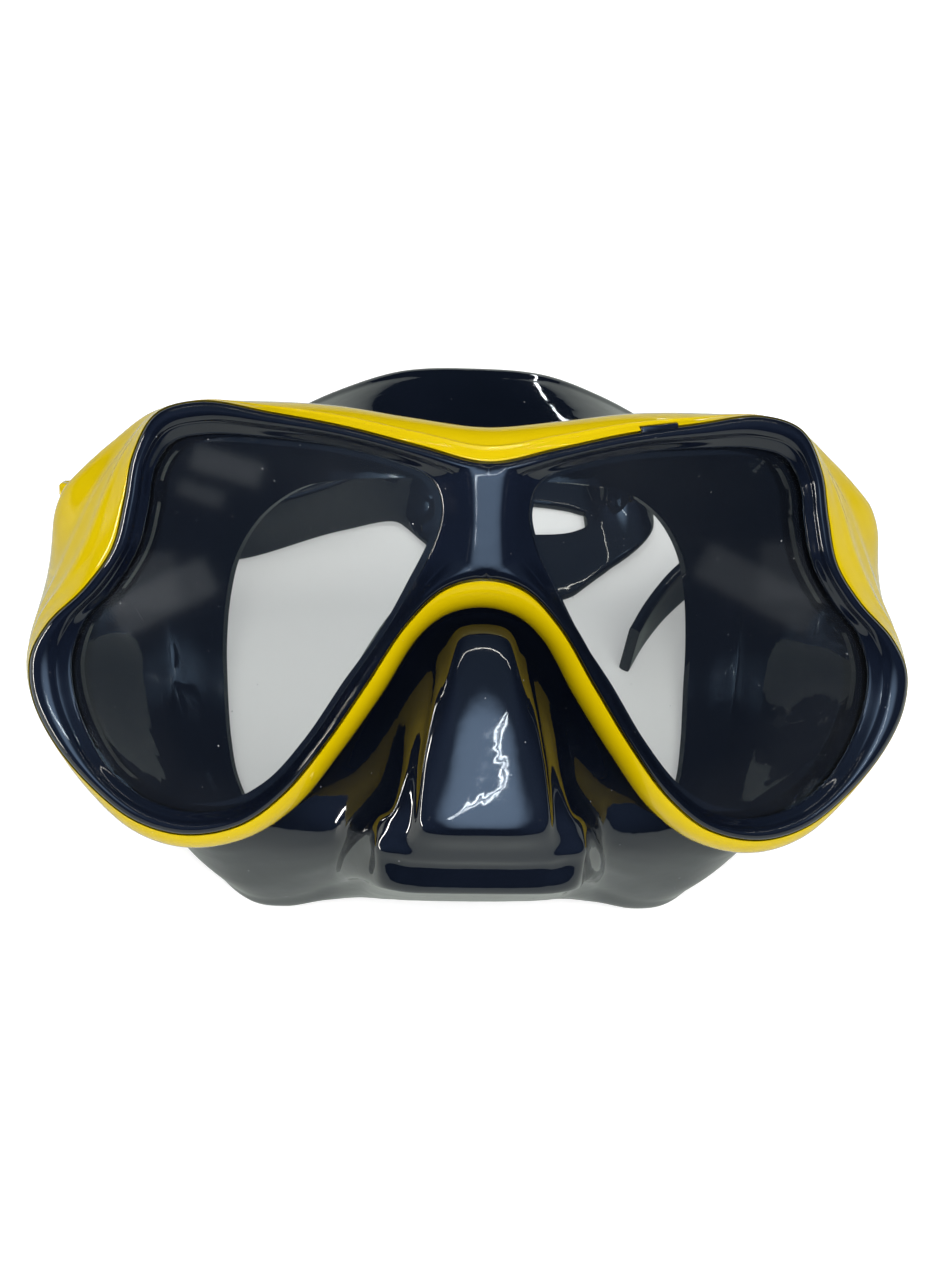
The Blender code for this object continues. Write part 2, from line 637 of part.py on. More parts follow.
def make_buckle(side, tag):
    px, py, pz = PIVOT
    lean = math.radians(LEAN)
    wy = py * math.cos(lean) + pz * math.sin(lean) + REST_Y
    wz = -py * math.sin(lean) + pz * math.cos(lean) + REST_Z
    swivel = empty("buckle_axis_" + tag, Vector((side * px, wy, wz)) * MM, math.radians(BUCKLE_TILT - LEAN))

    # body: boss at the swivel, two rails, a bar behind the strap
    outline = [(-5.3, 5.3), (-7.5, 0), (-5.3, -5.3), (0, -7.5), (5.0, -RAIL), (25.0, -RAIL), (25.0, RAIL), (5.0, RAIL), (0, 7.5)]
    outline = rounded(outline, 3.0)
    hole = rounded([(9.0, -10.6), (22.0, -10.6), (22.0, 10.6), (9.0, 10.6)], 1.5)
    body = bar_profile("buckle_body_" + tag, outline, hole, 6.4, swivel, YELLOW, -3.2)
    for s in (-1, 1):
        ear = block("ear_tool", (1.0, 8.3, min(s * 11.0, s * RAIL)), (10.3, 13.7, max(s * 11.0, s * RAIL)), swivel, YELLOW, True, 0.6)
        cut(body, ear, 'UNION')
    for s in (-1, 1):
        cut(body, block("bar_relief_tool", (min(s * 2.0, s * 6), 20.5, -10.6), (max(s * 2.0, s * 6), 27, 10.6), swivel, None, True))
    cut(body, cylinder("pin_bore_tool", 2.3, 20, 'X', (0, 0, 0), 20, swivel, None, True))
    cut(body, cylinder("roller_bore_tool", 1.65, 24.8, 'Z', (0, ROLLER_B, 0), 16, swivel, None, True))
    cut(body, cylinder("lever_bore_tool", 1.5, 40, 'Z', (LEVER_PIN[0], LEVER_PIN[1], 0), 16, swivel, None, True))
    freeze(body)
    flip_x(body, side)

    # swivel pin: its head lies in the lug's well, its tail holds a push-on clip
    out = LUG_OUT + 0.35
    pin = [(0, out + 1.2), (3.4, out + 1.2), (3.4, out), (1.95, out), (1.95, -3.6), (1.5, -3.6), (1.5, -5.4), (0, -5.4)]
    clip = [(1.8, -3.6), (3.8, -3.6), (3.8, -4.8), (1.8, -4.8), (1.8, -3.6)]
    for name, profile in (("buckle_pin_" + tag, pin), ("pin_clip_" + tag, clip)):
        ob = turned(name, profile, None, STEEL, (0, 0, 0))
        bm = bmesh.new()
        bm.from_mesh(ob.data)
        bmesh.ops.transform(bm, matrix=Matrix(((0, 0, side, 0), (0, 1, 0, 0), (-side, 0, 0, 0), (0, 0, 0, 1))), verts=bm.verts)
        bmesh.ops.recalc_face_normals(bm, faces=bm.faces)
        bm.to_mesh(ob.data)
        bm.free()
        ob.data.shade_smooth()
        ob.data.set_sharp_from_angle(angle=math.radians(35))
        ob.parent = MASK
        ob.location = Vector((side * px, py, pz)) * MM

    # roller on stub journals
    turned("strap_roller_" + tag, [(0, 12.2), (1.3, 12.2), (1.3, 10.2), (ROLLER_R, 10.2), (ROLLER_R, -10.2), (1.3, -10.2), (1.3, -12.2), (0, -12.2)],
           swivel, BLACK, (0, ROLLER_B, 0))

    # lever pin through both ears
    lp = turned("lever_pin_" + tag, [(0, RAIL - 0.2), (1.2, RAIL - 0.2), (1.2, -RAIL + 0.2), (0, -RAIL + 0.2)], swivel, STEEL,
                (side * LEVER_PIN[0], LEVER_PIN[1], 0), 14)

    # release lever: two knuckles on the pin, a plate and a gripping jaw
    hinge = empty("lever_axis_" + tag, Vector((side * LEVER_PIN[0], LEVER_PIN[1], 0)) * MM)
    hinge.parent = swivel
    lever = block("release_lever_" + tag, (-1.9, 1.0, -10.2), (0.7, 15.5, 10.2), hinge, YELLOW, False, 0.5)
    for s in (-1, 1):
        cut(lever, cylinder("knuckle_tool", 2.45, 5.6, 'Z', (0, 0, s * 7.4), 20, hinge, YELLOW, True), 'UNION')
    cut(lever, block("jaw_tool", (-2.6, 5.5, -9.0), (-1.0, 8.5, 9.0), hinge, YELLOW, True), 'UNION')
    cut(lever, block("spring_room_tool", (-6, -6, -4.4), (6, 3.8, 4.4), hinge, None, True))
    cut(lever, cylinder("knuckle_bore_tool", 1.5, 40, 'Z', (0, 0, 0), 16, hinge, None, True))
    freeze(lever)
    flip_x(lever, side)

    # return spring: a coil round the lever pin
    cu = bpy.data.curves.new("lever_spring_" + tag, 'CURVE')
    cu.dimensions = '3D'
    cu.bevel_depth = 0.35 * MM
    cu.bevel_resolution = 1
    cu.use_fill_caps = True
    sp = cu.splines.new('POLY')
    turns, per = 3.5, 8
    count = int(turns * per) + 1
    sp.points.add(count - 1)
    for i in range(count):
        a = 2 * math.pi * i / per
        sp.points[i].co = (1.95 * MM * math.cos(a), 1.95 * MM * math.sin(a), (-2.9 + 5.8 * i / (count - 1)) * MM, 1)
    spring = bpy.data.objects.new("lever_spring_" + tag, cu)
    PARTS.objects.link(spring)
    cu.materials.append(STEEL)
    spring.parent = swivel
    spring.location = Vector((side * LEVER_PIN[0], LEVER_PIN[1], 0)) * MM


# ------------------------------------------------------------- strap
def wrap(side, turn, b):
    """A point of the strap at the roller, on the table: turn 0 is outside, pi inside."""
    px, py, pz = PIVOT
    lean = math.radians(LEAN)
    wy = py * math.cos(lean) + pz * math.sin(lean)
    wz = -py * math.sin(lean) + pz * math.cos(lean) + REST_Z
    r = ROLLER_R + 0.3 + STRAP_T / 2
    bb = ROLLER_B - r * math.sin(turn) + b
    a = math.radians(BUCKLE_TILT - LEAN)
    return (side * (px + r * math.cos(turn)), wy + bb * math.cos(a), wz + bb * math.sin(a))


def strap_path():
    """Centre line, width direction, half width and half slot: left tail to right tail."""
    d = math.sqrt(0.5)
    up = (0, d, d)
    floor = STRAP_W / 2 + 0.3
    flat = STRAP_T / 2
    rows = []

    def add(p, w, h, g=0.8):
        rows.append(tuple(p) + tuple(w) + (h, g))

    hw, ht = STRAP_W / 2, 8.5
    add(wrap(-1, math.pi, 13), up, ht)
    add(wrap(-1, math.pi, 7), up, ht)
    add(wrap(-1, math.pi, 1), up, ht)
    for k in range(1, 6):
        add(wrap(-1, math.pi * (1 - k / 6), 0), up, ht)
    add(wrap(-1, 0, 1), up, hw)
    add(wrap(-1, 0, 8), up, hw)
    add((-75.5, 70.5, 14.0), (0.1, 0.5, 0.86), hw)
    add((-68, 73.5, floor + 0.4), (0, 0.1, 1), hw)
    add((-57, 72.5, floor), (0, 0, 1), hw)
    add((-48, 73.4, floor), (0, 0, 1), hw)
    add((-26, 81.8, floor), (0, 0, 1), hw)
    add((-12, 86.8, 10.3), (0, 0.35, 0.94), 10, 1.0)
    add((-3, 87.6, 7.4), (0, 0.88, 0.47), 13, 1.2)
    add((4, 86.0, 2.0), (0, 1, 0.03), 18, 1.6)
    add((9, 85, flat), (0, 1, 0), 21.5, 3.5)
    add((14, 84.6, flat), (0, 1, 0), 23, 4.3)
    add((21, 84.4, flat), (0, 1, 0), 23, 4.3)
    add((27, 84.3, flat), (0, 1, 0), 20.5, 3.5)
    add((33, 84.6, 2.0), (0, 1, 0.02), 15, 1.4)
    add((38.5, 86.0, 6.6), (-0.2, 0.8, 0.55), 10.5, 0.9)
    add((45, 91.5, 9.2), (0, 0.3, 0.95), hw)
    add((55, 97.5, floor), (0, 0, 1), hw)
    add((66, 98, floor), (0, 0, 1), hw)
    add((75, 91, floor + 0.8), (0, 0.05, 1), hw)
    add((78.2, 80, 11.8), (0, 0.25, 0.97), hw)
    add((77.6, 71.5, 14.3), (0, 0.5, 0.86), hw)
    add(wrap(1, 0, 7), up, hw)
    add(wrap(1, 0, 1), up, hw)
    for k in range(1, 6):
        add(wrap(1, math.pi * k / 6, 0), up, ht)
    add(wrap(1, math.pi, 1), up, ht)
    add(wrap(1, math.pi, 6), up, ht)
    low = ht + 0.3
    add((68.4, 67.5, 14.5), (0, 0.5, 0.86), ht)
    add((64.0, 70.5, 10.6), (0, 0.2, 1), ht)
    add((56.5, 67.5, low), (0, 0, 1), ht)
    add((48, 60, low), (0, 0, 1), ht)
    add((41.5, 51.5, low), (0, 0, 1), ht)
    add((37.5, 44.5, low), (0, 0, 1), ht)
    return rows


def make_strap(per):
    rows = spline(strap_path(), per)
    verts, faces, slot = [], [], []
    n = len(rows)
    for i in range(n):
        p = rows[i][:3]
        a, b = rows[max(i - 1, 0)][:3], rows[min(i + 1, n - 1)][:3]
        t = (b - a) / np.linalg.norm(b - a)
        w = rows[i][3:6]
        w = w - t * np.dot(w, t)
        w = w / np.linalg.norm(w)
        h, g = rows[i][6], rows[i][7]
        slot.append(g > 2.0)
        for v in (-h, -(h + g) / 2, -g, g, (h + g) / 2, h):
            q = p + w * v
            q[2] = max(q[2], STRAP_T / 2)
            verts.append((q[0], q[1] + REST_Y, q[2]))
    for i in range(n - 1):
        for k in range(5):
            if k == 2 and slot[i] and slot[i + 1]:
                continue
            a = i * 6 + k
            faces.append((a, a + 1, a + 7, a + 6))
    px, py, pz = PIVOT
    lean = math.radians(LEAN)
    wy = py * math.cos(lean) + pz * math.sin(lean) + REST_Y
    wz = -py * math.sin(lean) + pz * math.cos(lean) + REST_Z
    me = bpy.data.meshes.new("strap")
    me.from_pydata([(v[0] * MM, (v[1] - wy) * MM, (v[2] - wz) * MM) for v in verts], [], faces)
    ob = add_object("strap", me, SILICONE)
    ob.location = (0, wy * MM, wz * MM)
    s = ob.modifiers.new("thickness", 'SOLIDIFY')
    s.thickness = STRAP_T * MM
    s.offset = 0.0
    s.use_rim = True
    return ob


def main():
    global PARTS, CUTTERS, MASK, YELLOW, BLACK, SILICONE, GLASS, STEEL
    for ob in list(bpy.data.objects):
        bpy.data.objects.remove(ob, do_unlink=True)
    PARTS = collection("snorkel_mask")
    CUTTERS = collection("cutters")
    YELLOW = material("yellow_plastic", (0.72, 0.50, 0.004), 0.18)
    BLACK = material("black_plastic", (0.006, 0.008, 0.013), 0.12)
    SILICONE = material("black_silicone", (0.008, 0.010, 0.018), 0.22)
    GLASS = material("tempered_glass", (0.85, 0.92, 0.93), 0.02, 0.0, 0.2)
    STEEL = material("stainless_steel", (0.6, 0.6, 0.6), 0.25, 1.0)
    MASK = empty("mask_rest", Vector((0, REST_Y, REST_Z)) * MM, math.radians(-LEAN))
    bpy.context.view_layer.update()
    build_frame(2)
    make_bezel(2)
    make_lens("lens_left", -1, 2)
    make_lens("lens_right", 1, 2)
    make_skirt(2, 1)
    make_buckle(-1, "left")
    make_buckle(1, "right")
    make_strap(2)


main()
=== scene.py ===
"""Looks of the two-lens snorkel mask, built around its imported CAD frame.

Shapes are drawn in millimetres in the mask's own frame (X across the face,
Y back towards the face, Z up the face) and then laid down on the table.
"""
import math
import bpy
import bmesh
import numpy as np
from mathutils import Matrix, Vector


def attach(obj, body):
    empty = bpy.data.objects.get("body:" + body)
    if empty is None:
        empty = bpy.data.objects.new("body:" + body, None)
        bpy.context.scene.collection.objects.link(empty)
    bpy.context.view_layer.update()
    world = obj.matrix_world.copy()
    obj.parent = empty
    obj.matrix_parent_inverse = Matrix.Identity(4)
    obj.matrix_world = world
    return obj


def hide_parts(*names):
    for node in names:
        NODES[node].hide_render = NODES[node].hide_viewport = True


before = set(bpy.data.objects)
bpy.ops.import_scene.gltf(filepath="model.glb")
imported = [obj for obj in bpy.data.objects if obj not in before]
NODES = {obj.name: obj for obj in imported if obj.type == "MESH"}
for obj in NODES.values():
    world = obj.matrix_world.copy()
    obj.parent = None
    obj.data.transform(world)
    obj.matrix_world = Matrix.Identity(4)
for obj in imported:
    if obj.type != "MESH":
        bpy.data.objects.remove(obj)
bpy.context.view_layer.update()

MM = 0.001

LEAN = 55.0
REST_Y = -39.45
REST_Z = 68.42
SWEEP = 13.0
SWEEP_START = 8.0
LENS_FRONT = 3.5
LENS_THICK = 3.5
FLANGE_FRONT = 5.3
FLANGE_BACK = 6.9
SEAT_FRONT = 7.2
SKIRT_THICK = 1.8
FRAME_WALL = 2.2
GAP = 0.35
PIVOT = (72.6, 52.0, 20.0)
BUCKLE_TILT = 10.0
ROLLER_B = 18.0
ROLLER_R = 2.2
STRAP_T = 2.4
STRAP_W = 19.0
LUG_OUT = 7.2
TAB = (30.8, 45.4, 7.0, 2.2, 1.4)

OPENING = [(9.5, 35.2), (16, 38.3), (27, 41.0), (38.5, 42.3), (49.5, 42.7),
           (55.5, 41.2), (58.7, 36.5), (59.8, 29.5), (61.6, 22.2), (66.0, 14.9),
           (71.2, 9.0), (73.5, 2.5), (73.2, -3.5), (70.8, -10.7), (65.9, -18.3),
           (59.0, -23.2), (51.3, -25.0), (43.5, -23.8), (36.8, -19.5),
           (30.0, -11.2), (23.2, -0.6), (17.0, 8.8), (12.5, 16.8),
           (9.0, 24.0), (7.7, 30.0)]
OUTLINE = [(0, 38.2), (12, 40.9), (25, 44.1), (38, 46.4), (50.5, 48.3),
           (58.3, 46.0), (62.3, 38.8), (63.9, 30.3), (66.0, 21.9), (71.0, 14.8),
           (77.6, 8.3), (80.8, 2.2), (80.4, -4.8), (76.8, -12.3), (70.0, -20.2),
           (61.5, -26.5), (52.3, -28.7), (42.3, -26.5), (34.5, -20.5),
           (27.2, -11.2), (20.3, -0.6), (13.5, 10.1), (7.0, 16.4),
           (0, 18.2)]
FRAME_BACK = [(0, 45.0, 9), (13, 46.5, 9), (26, 48.5, 9.5), (38.5, 49.3, 11),
              (50.5, 49.0, 14), (60.0, 46.8, 19), (67.5, 40.0, 24),
              (74.5, 33.0, 27), (79.4, 25.5, 30), (82.2, 17.5, 33),
              (84.0, 10.0, 34), (84.4, 3.0, 31), (83.0, -4.5, 25),
              (78.5, -13.0, 18), (71.5, -22.3, 12), (62.3, -29.8, 9),
              (52.3, -32.3, 8), (41.3, -30.0, 8), (32.3, -23.7, 8),
              (24.3, -13.3, 8), (17.3, -2.8, 8), (11.0, 7.6, 8),
              (6.0, 11.7, 8), (0, 13.0, 8)]
CREST = [(0, 44, 59), (14, 44.5, 58.2), (26, 47, 54.5), (37, 51, 49.5),
         (47, 57, 44.0), (55, 63.5, 37), (59.5, 69, 30), (61.8, 72.5, 23),
         (63, 75, 16), (63.3, 76.3, 8), (63, 76.6, 0), (62, 75.8, -8),
         (60, 71.4, -17), (57, 64.5, -26), (53, 58.3, -35), (48.5, 53, -43),
         (42, 49.7, -48.3), (35, 47.8, -49.0), (27.5, 46.8, -47.6),
         (20, 46.2, -46.4), (13.5, 46, -46.0), (8, 46, -45.8),
         (3.8, 46, -45.8), (0, 46, -45.8)]
MOUTH = [(0, 47, 37.5), (13, 47.5, 37.3), (24, 49, 36.8), (32, 52, 35.5),
         (39, 57, 31.5), (44, 62.5, 26), (47, 67, 20), (48.5, 70, 14),
         (49.3, 72, 8), (49.6, 73, 1), (49.4, 73, -5), (48.9, 71, -11),
         (48, 67.5, -17.5), (46, 62, -25), (42, 57, -31.5), (35.5, 53, -35.5),
         (28, 50.5, -37), (20.5, 49.3, -36.6), (15, 48.8, -36), (11, 48.5, -35.6),
         (8, 48.4, -35.4), (5, 48.4, -35.2), (2.4, 48.4, -35), (0, 48.4, -35)]
NOSE = [[(60.2, 22.5, -26), (59.2, 26, -27.5), (57.8, 30.5, -30), (56, 35.5, -33), (53.8, 41, -36.8), (51.0, 47.3, -40.3)],
        [(51.3, 23, -30), (49.8, 26, -33), (48.2, 30, -36), (46.5, 34.5, -39.5), (44.8, 39, -43), (43, 44.3, -46)],
        [(41.2, 20.5, -28.5), (39.5, 22, -31.5), (38, 24.5, -34.5), (36.8, 28.5, -38), (36, 34, -42), (35.3, 41, -46)],
        [(31.6, 17.5, -23.8), (29.2, 17.5, -26.8), (27.2, 17.5, -29.8), (26.8, 20, -33.2), (27.0, 26, -37.5), (27.3, 36, -42.8)],
        [(23.6, 15.8, -13.9), (20.6, 12.5, -18.5), (18.8, 7.5, -23.0), (19.6, 3.5, -28.0), (21.0, 9, -32.5), (20.5, 26, -39.0)],
        [(16.6, 14.0, -3.2), (13.9, 7.5, -8.5), (13.9, -0.5, -16.5), (15.8, -4.2, -25.0), (18.2, -3.2, -30.3), (15.5, 18, -37.6)],
        [(10.3, 11.8, 6.2), (9.0, 4.0, 3.0), (10.4, -3.0, -6.0), (12.6, -7.8, -22.5), (13.4, -5.2, -31.2), (9.8, 17.5, -37.4)],
        [(5.0, 9.6, 10.4), (4.6, 2.2, 8.6), (5.6, -4.6, -2.0), (6.6, -9.0, -22.2), (6.8, -5.3, -31.4), (4.8, 17.5, -37)],
        [(0, 9.0, 11.3), (0, 1.6, 9.6), (0, -5.0, -1.0), (0, -9.4, -22), (0, -5.3, -31.5), (0, 17.5, -37)]]

# Mask frame (mm) to the table (m).
LAY = Matrix.Translation((0, REST_Y * MM, REST_Z * MM)) @ Matrix.Rotation(math.radians(-LEAN), 4, 'X') @ Matrix.Scale(MM, 4)


# ------------------------------------------------------------- materials
def tree(name):
    m = bpy.data.materials.new(name)
    m.use_nodes = True
    nt = m.node_tree
    nt.nodes.clear()
    out = nt.nodes.new('ShaderNodeOutputMaterial')
    out.location = (900, 0)
    return m, nt, out


def node(nt, kind, **values):
    n = nt.nodes.new(kind)
    for key, v in values.items():
        if key in n.inputs:
            n.inputs[key].default_value = v
        else:
            setattr(n, key, v)
    return n


def noise(nt, coord, scale, detail=4.0, rough=0.5):
    n = nt.nodes.new('ShaderNodeTexNoise')
    n.inputs['Scale'].default_value = scale
    n.inputs['Detail'].default_value = detail
    n.inputs['Roughness'].default_value = rough
    nt.links.new(coord, n.inputs['Vector'])
    return n.outputs['Fac']


def ramp(nt, fac, stops):
    r = nt.nodes.new('ShaderNodeValToRGB')
    r.color_ramp.elements[0].position = stops[0][0]
    r.color_ramp.elements[0].color = (*stops[0][1], 1)
    r.color_ramp.elements[1].position = stops[-1][0]
    r.color_ramp.elements[1].color = (*stops[-1][1], 1)
    for pos, col in stops[1:-1]:
        e = r.color_ramp.elements.new(pos)
        e.color = (*col, 1)
    nt.links.new(fac, r.inputs['Fac'])
    return r.outputs['Color']


def span(nt, fac, lo, hi, a, b):
    """Map fac from lo..hi to a..b."""
    r = nt.nodes.new('ShaderNodeMapRange')
    r.clamp = True
    r.inputs['From Min'].default_value = lo
    r.inputs['From Max'].default_value = hi
    r.inputs['To Min'].default_value = a
    r.inputs['To Max'].default_value = b
    nt.links.new(fac, r.inputs['Value'])
    return r.outputs['Result']


def bump(nt, height, strength, distance, under=None):
    b = nt.nodes.new('ShaderNodeBump')
    b.inputs['Strength'].default_value = strength
    b.inputs['Distance'].default_value = distance
    nt.links.new(height, b.inputs['Height'])
    if under is not None:
        nt.links.new(under, b.inputs['Normal'])
    return b.outputs['Normal']


def add(nt, a, b, op='ADD'):
    m = nt.nodes.new('ShaderNodeMath')
    m.operation = op
    nt.links.new(a, m.inputs[0])
    if isinstance(b, (int, float)):
        m.inputs[1].default_value = b
    else:
        nt.links.new(b, m.inputs[1])
    return m.outputs[0]


def specks(nt, coord, scale, size):
    """Sparse dust grains: 1 on a grain, 0 elsewhere."""
    v = nt.nodes.new('ShaderNodeTexVoronoi')
    v.inputs['Scale'].default_value = scale
    v.inputs['Randomness'].default_value = 1.0
    nt.links.new(coord, v.inputs['Vector'])
    near = span(nt, v.outputs['Distance'], size * 0.5, size, 1.0, 0.0)
    sep = nt.nodes.new('ShaderNodeSeparateColor')
    nt.links.new(v.outputs['Color'], sep.inputs['Color'])
    few = span(nt, sep.outputs[0], 0.80, 0.95, 0.0, 1.0)
    return add(nt, near, few, 'MULTIPLY')


def plastic(name, dark, light, rough, dust, wave=0.05, coat=0.0, shine=0.5, grain=(95.0, 2.0), tint=(1, 1, 1)):
    """Glossy moulded plastic or silicone: slow colour drift, polish marks, a little dust."""
    m, nt, out = tree(name)
    co = nt.nodes.new('ShaderNodeTexCoord').outputs['Object']
    slow = noise(nt, co, 28.0, 3.0)
    fine = noise(nt, co, 420.0, 3.0)
    hair = noise(nt, co, 2600.0, 2.0)
    base = ramp(nt, slow, [(0.32, dark), (0.68, light)])
    grains = specks(nt, co, 430.0, 0.075)
    mix = nt.nodes.new('ShaderNodeMix')
    mix.data_type = 'RGBA'
    nt.links.new(add(nt, grains, dust, 'MULTIPLY'), mix.inputs['Factor'])
    nt.links.new(base, mix.inputs['A'])
    mix.inputs['B'].default_value = (0.75, 0.77, 0.80, 1)
    p = nt.nodes.new('ShaderNodeBsdfPrincipled')
    nt.links.new(mix.outputs['Result'], p.inputs['Base Color'])
    r = add(nt, span(nt, fine, 0.3, 0.7, rough * 0.75, rough * 1.25), add(nt, grains, 0.3, 'MULTIPLY'))
    nt.links.new(r, p.inputs['Roughness'])
    p.inputs['IOR'].default_value = 1.5
    p.inputs['Specular IOR Level'].default_value = shine
    p.inputs['Specular Tint'].default_value = (*tint, 1)
    p.inputs['Coat Weight'].default_value = coat
    p.inputs['Coat Roughness'].default_value = 0.04
    n1 = bump(nt, noise(nt, co, *grain), wave, 0.0015)
    n2 = bump(nt, hair, 0.003, 0.0002, n1)
    nt.links.new(n2, p.inputs['Normal'])
    nt.links.new(p.outputs[0], out.inputs['Surface'])
    return m


def steel(name):
    m, nt, out = tree(name)
    co = nt.nodes.new('ShaderNodeTexCoord').outputs['Object']
    mp = nt.nodes.new('ShaderNodeMapping')
    mp.inputs['Scale'].default_value = (12.0, 1.0, 1.0)
    nt.links.new(co, mp.inputs['Vector'])
    lines = noise(nt, mp.outputs[0], 900.0, 4.0)
    p = nt.nodes.new('ShaderNodeBsdfPrincipled')
    p.inputs['Metallic'].default_value = 1.0
    nt.links.new(ramp(nt, lines, [(0.3, (0.42, 0.43, 0.45)), (0.7, (0.66, 0.67, 0.69))]), p.inputs['Base Color'])
    nt.links.new(span(nt, lines, 0.3, 0.7, 0.18, 0.38), p.inputs['Roughness'])
    nt.links.new(bump(nt, lines, 0.15, 0.0001), p.inputs['Normal'])
    nt.links.new(p.outputs[0], out.inputs['Surface'])
    return m


def glass(name):
    """Clear flat glass: see-through with a mirror sheen, faint smears and dust; its see-through colour is greyed,
    partly the glass's own tint and partly painted shade on the table behind it.
    """
    m, nt, out = tree(name)
    co = nt.nodes.new('ShaderNodeTexCoord').outputs['Object']
    # partly the glass's own slight tint, partly painted shade: the see-through colour is greyed to darken the table
    # seen through the lens
    clear = node(nt, 'ShaderNodeBsdfTransparent', Color=(0.865, 0.875, 0.868, 1))
    gloss = node(nt, 'ShaderNodeBsdfAnisotropic')
    gloss.inputs['Color'].default_value = (1, 1, 1, 1)
    gloss.inputs['Roughness'].default_value = 0.045
    fres = node(nt, 'ShaderNodeFresnel', IOR=1.42)
    a = nt.nodes.new('ShaderNodeMixShader')
    nt.links.new(fres.outputs[0], a.inputs[0])
    nt.links.new(clear.outputs[0], a.inputs[1])
    nt.links.new(gloss.outputs[0], a.inputs[2])
    dust = nt.nodes.new('ShaderNodeBsdfDiffuse')
    dust.inputs['Color'].default_value = (0.7, 0.72, 0.75, 1)
    grains = specks(nt, co, 430.0, 0.07)
    smear = span(nt, noise(nt, co, 26.0, 3.0, 0.5), 0.45, 0.8, 0.001, 0.007)
    b = nt.nodes.new('ShaderNodeMixShader')
    nt.links.new(add(nt, add(nt, grains, 0.55, 'MULTIPLY'), smear), b.inputs[0])
    nt.links.new(a.outputs[0], b.inputs[1])
    nt.links.new(dust.outputs[0], b.inputs[2])
    nt.links.new(b.outputs[0], out.inputs['Surface'])
    return m


YELLOW = plastic("yellow_moulded", (0.480, 0.345, 0.0004), (0.530, 0.385, 0.0006), 0.05, 0.10, 0.02, 0.0, 0.42, tint=(1.0, 0.95, 0.50))
BLACK = plastic("black_moulded", (0.0020, 0.0032, 0.0070), (0.0032, 0.0048, 0.0105), 0.07, 0.25, 0.10, 0.2)
SILICONE = plastic("black_silicone", (0.0020, 0.0032, 0.0065), (0.0034, 0.0050, 0.0100), 0.05, 0.30, 0.085, 0.0, 0.75, (125.0, 2.5))
STEEL = steel("pin_steel")
GLASS = glass("lens_glass")


# ------------------------------------------------------------- curves
def sweep_depth(x):
    t = math.tan(math.radians(SWEEP))
    a = abs(x)
    if a > SWEEP_START:
        return t * (a - SWEEP_START / 2)
    return t * a * a / (2 * SWEEP_START)


def spline(points, per, closed=False, mirror=False):
    p = np.array(points, float)
    n = len(p)
    flip = np.ones(p.shape[1])
    flip[0] = -1.0
    if closed:
        ext = np.vstack([p[-1:], p, p[:2]])
    elif mirror:
        ext = np.vstack([p[1:2] * flip, p, p[-2:-1] * flip])
    else:
        ext = np.vstack([2 * p[:1] - p[1:2], p, 2 * p[-1:] - p[-2:-1]])
    spans = n if closed else n - 1
    out = []
    for i in range(spans):
        a, b, c, d = ext[i], ext[i + 1], ext[i + 2], ext[i + 3]
        ta = max(np.linalg.norm(b - a), 1e-6) ** 0.5
        tb = max(np.linalg.norm(c - b), 1e-6) ** 0.5
        tc = max(np.linalg.norm(d - c), 1e-6) ** 0.5
        m1 = tb * ((b - a) / ta - (c - a) / (ta + tb) + (c - b) / tb)
        m2 = tb * ((c - b) / tb - (d - b) / (tb + tc) + (d - c) / tc)
        for k in range(per):
            s = k / per
            h0 = 2 * s ** 3 - 3 * s ** 2 + 1
            h1 = s ** 3 - 2 * s ** 2 + s
            h2 = -2 * s ** 3 + 3 * s ** 2
            h3 = s ** 3 - s ** 2
            out.append(h0 * b + h1 * m1 + h2 * c + h3 * m2)
    if not closed:
        out.append(p[-1])
    return np.array(out)


def lens_rows(per):
    inner = spline(OPENING, per, closed=True)
    outer = spline(OUTLINE, per, mirror=True)
    back = spline(FRAME_BACK, per, mirror=True)
    wall = len(outer)
    rest = len(inner) - wall
    z0, z1 = OUTLINE[-1][1], OUTLINE[0][1]
    line = [(0.0, z0 + (z1 - z0) * (k + 1) / (rest + 1)) for k in range(rest)]
    outer = np.vstack([outer, line])
    pad = np.array([(0.0, z, 8.0) for _, z in line])
    back = np.vstack([back, pad])
    return inner, outer, back, wall


def outline_normals(outer, wall):
    n = np.zeros_like(outer)
    for i in range(wall):
        a = outer[i - 1] if i > 0 else outer[1] * (-1, 1)
        b = outer[i + 1] if i < wall - 1 else outer[wall - 2] * (-1, 1)
        d = (b - a) if i > 0 else (outer[1] - outer[1] * (-1, 1))
        if i == wall - 1:
            d = outer[wall - 2] * (-1, 1) - outer[wall - 2]
        d = d / np.linalg.norm(d)
        n[i] = (-d[1], d[0])
    return n


def lens_edge(inner, outer):
    d = outer - inner
    w = np.linalg.norm(d, axis=1, keepdims=True)
    return inner + d * np.minimum(0.5, 1.5 / w)


def at(p, g):
    return (float(p[0]), sweep_depth(p[0]) + g, float(p[1]))


def bezier(a, c, b, n):
    a, b, c = np.array(a), np.array(b), np.array(c)
    return [tuple((1 - t) ** 2 * a + 2 * t * (1 - t) * c + t * t * b) for t in np.linspace(0, 1, n)]


# ------------------------------------------------------------- mesh helpers
PIECES = bpy.data.collections.new("pieces")
bpy.context.scene.collection.children.link(PIECES)
TOOLS = bpy.data.collections.new("tools")
bpy.context.scene.collection.children.link(TOOLS)


def sharpen(me, angle=38.0):
    me.shade_smooth()
    me.set_sharp_from_angle(angle=math.radians(angle))


def tidy(me, dist=1e-4, angle=38.0):
    bm = bmesh.new()
    bm.from_mesh(me)
    bmesh.ops.remove_doubles(bm, verts=bm.verts, dist=dist)
    bmesh.ops.dissolve_degenerate(bm, edges=bm.edges, dist=dist * 0.1)
    loose = [v for v in bm.verts if not v.link_faces]
    bmesh.ops.delete(bm, geom=loose, context='VERTS')
    bmesh.ops.recalc_face_normals(bm, faces=bm.faces)
    bm.to_mesh(me)
    bm.free()
    sharpen(me, angle)


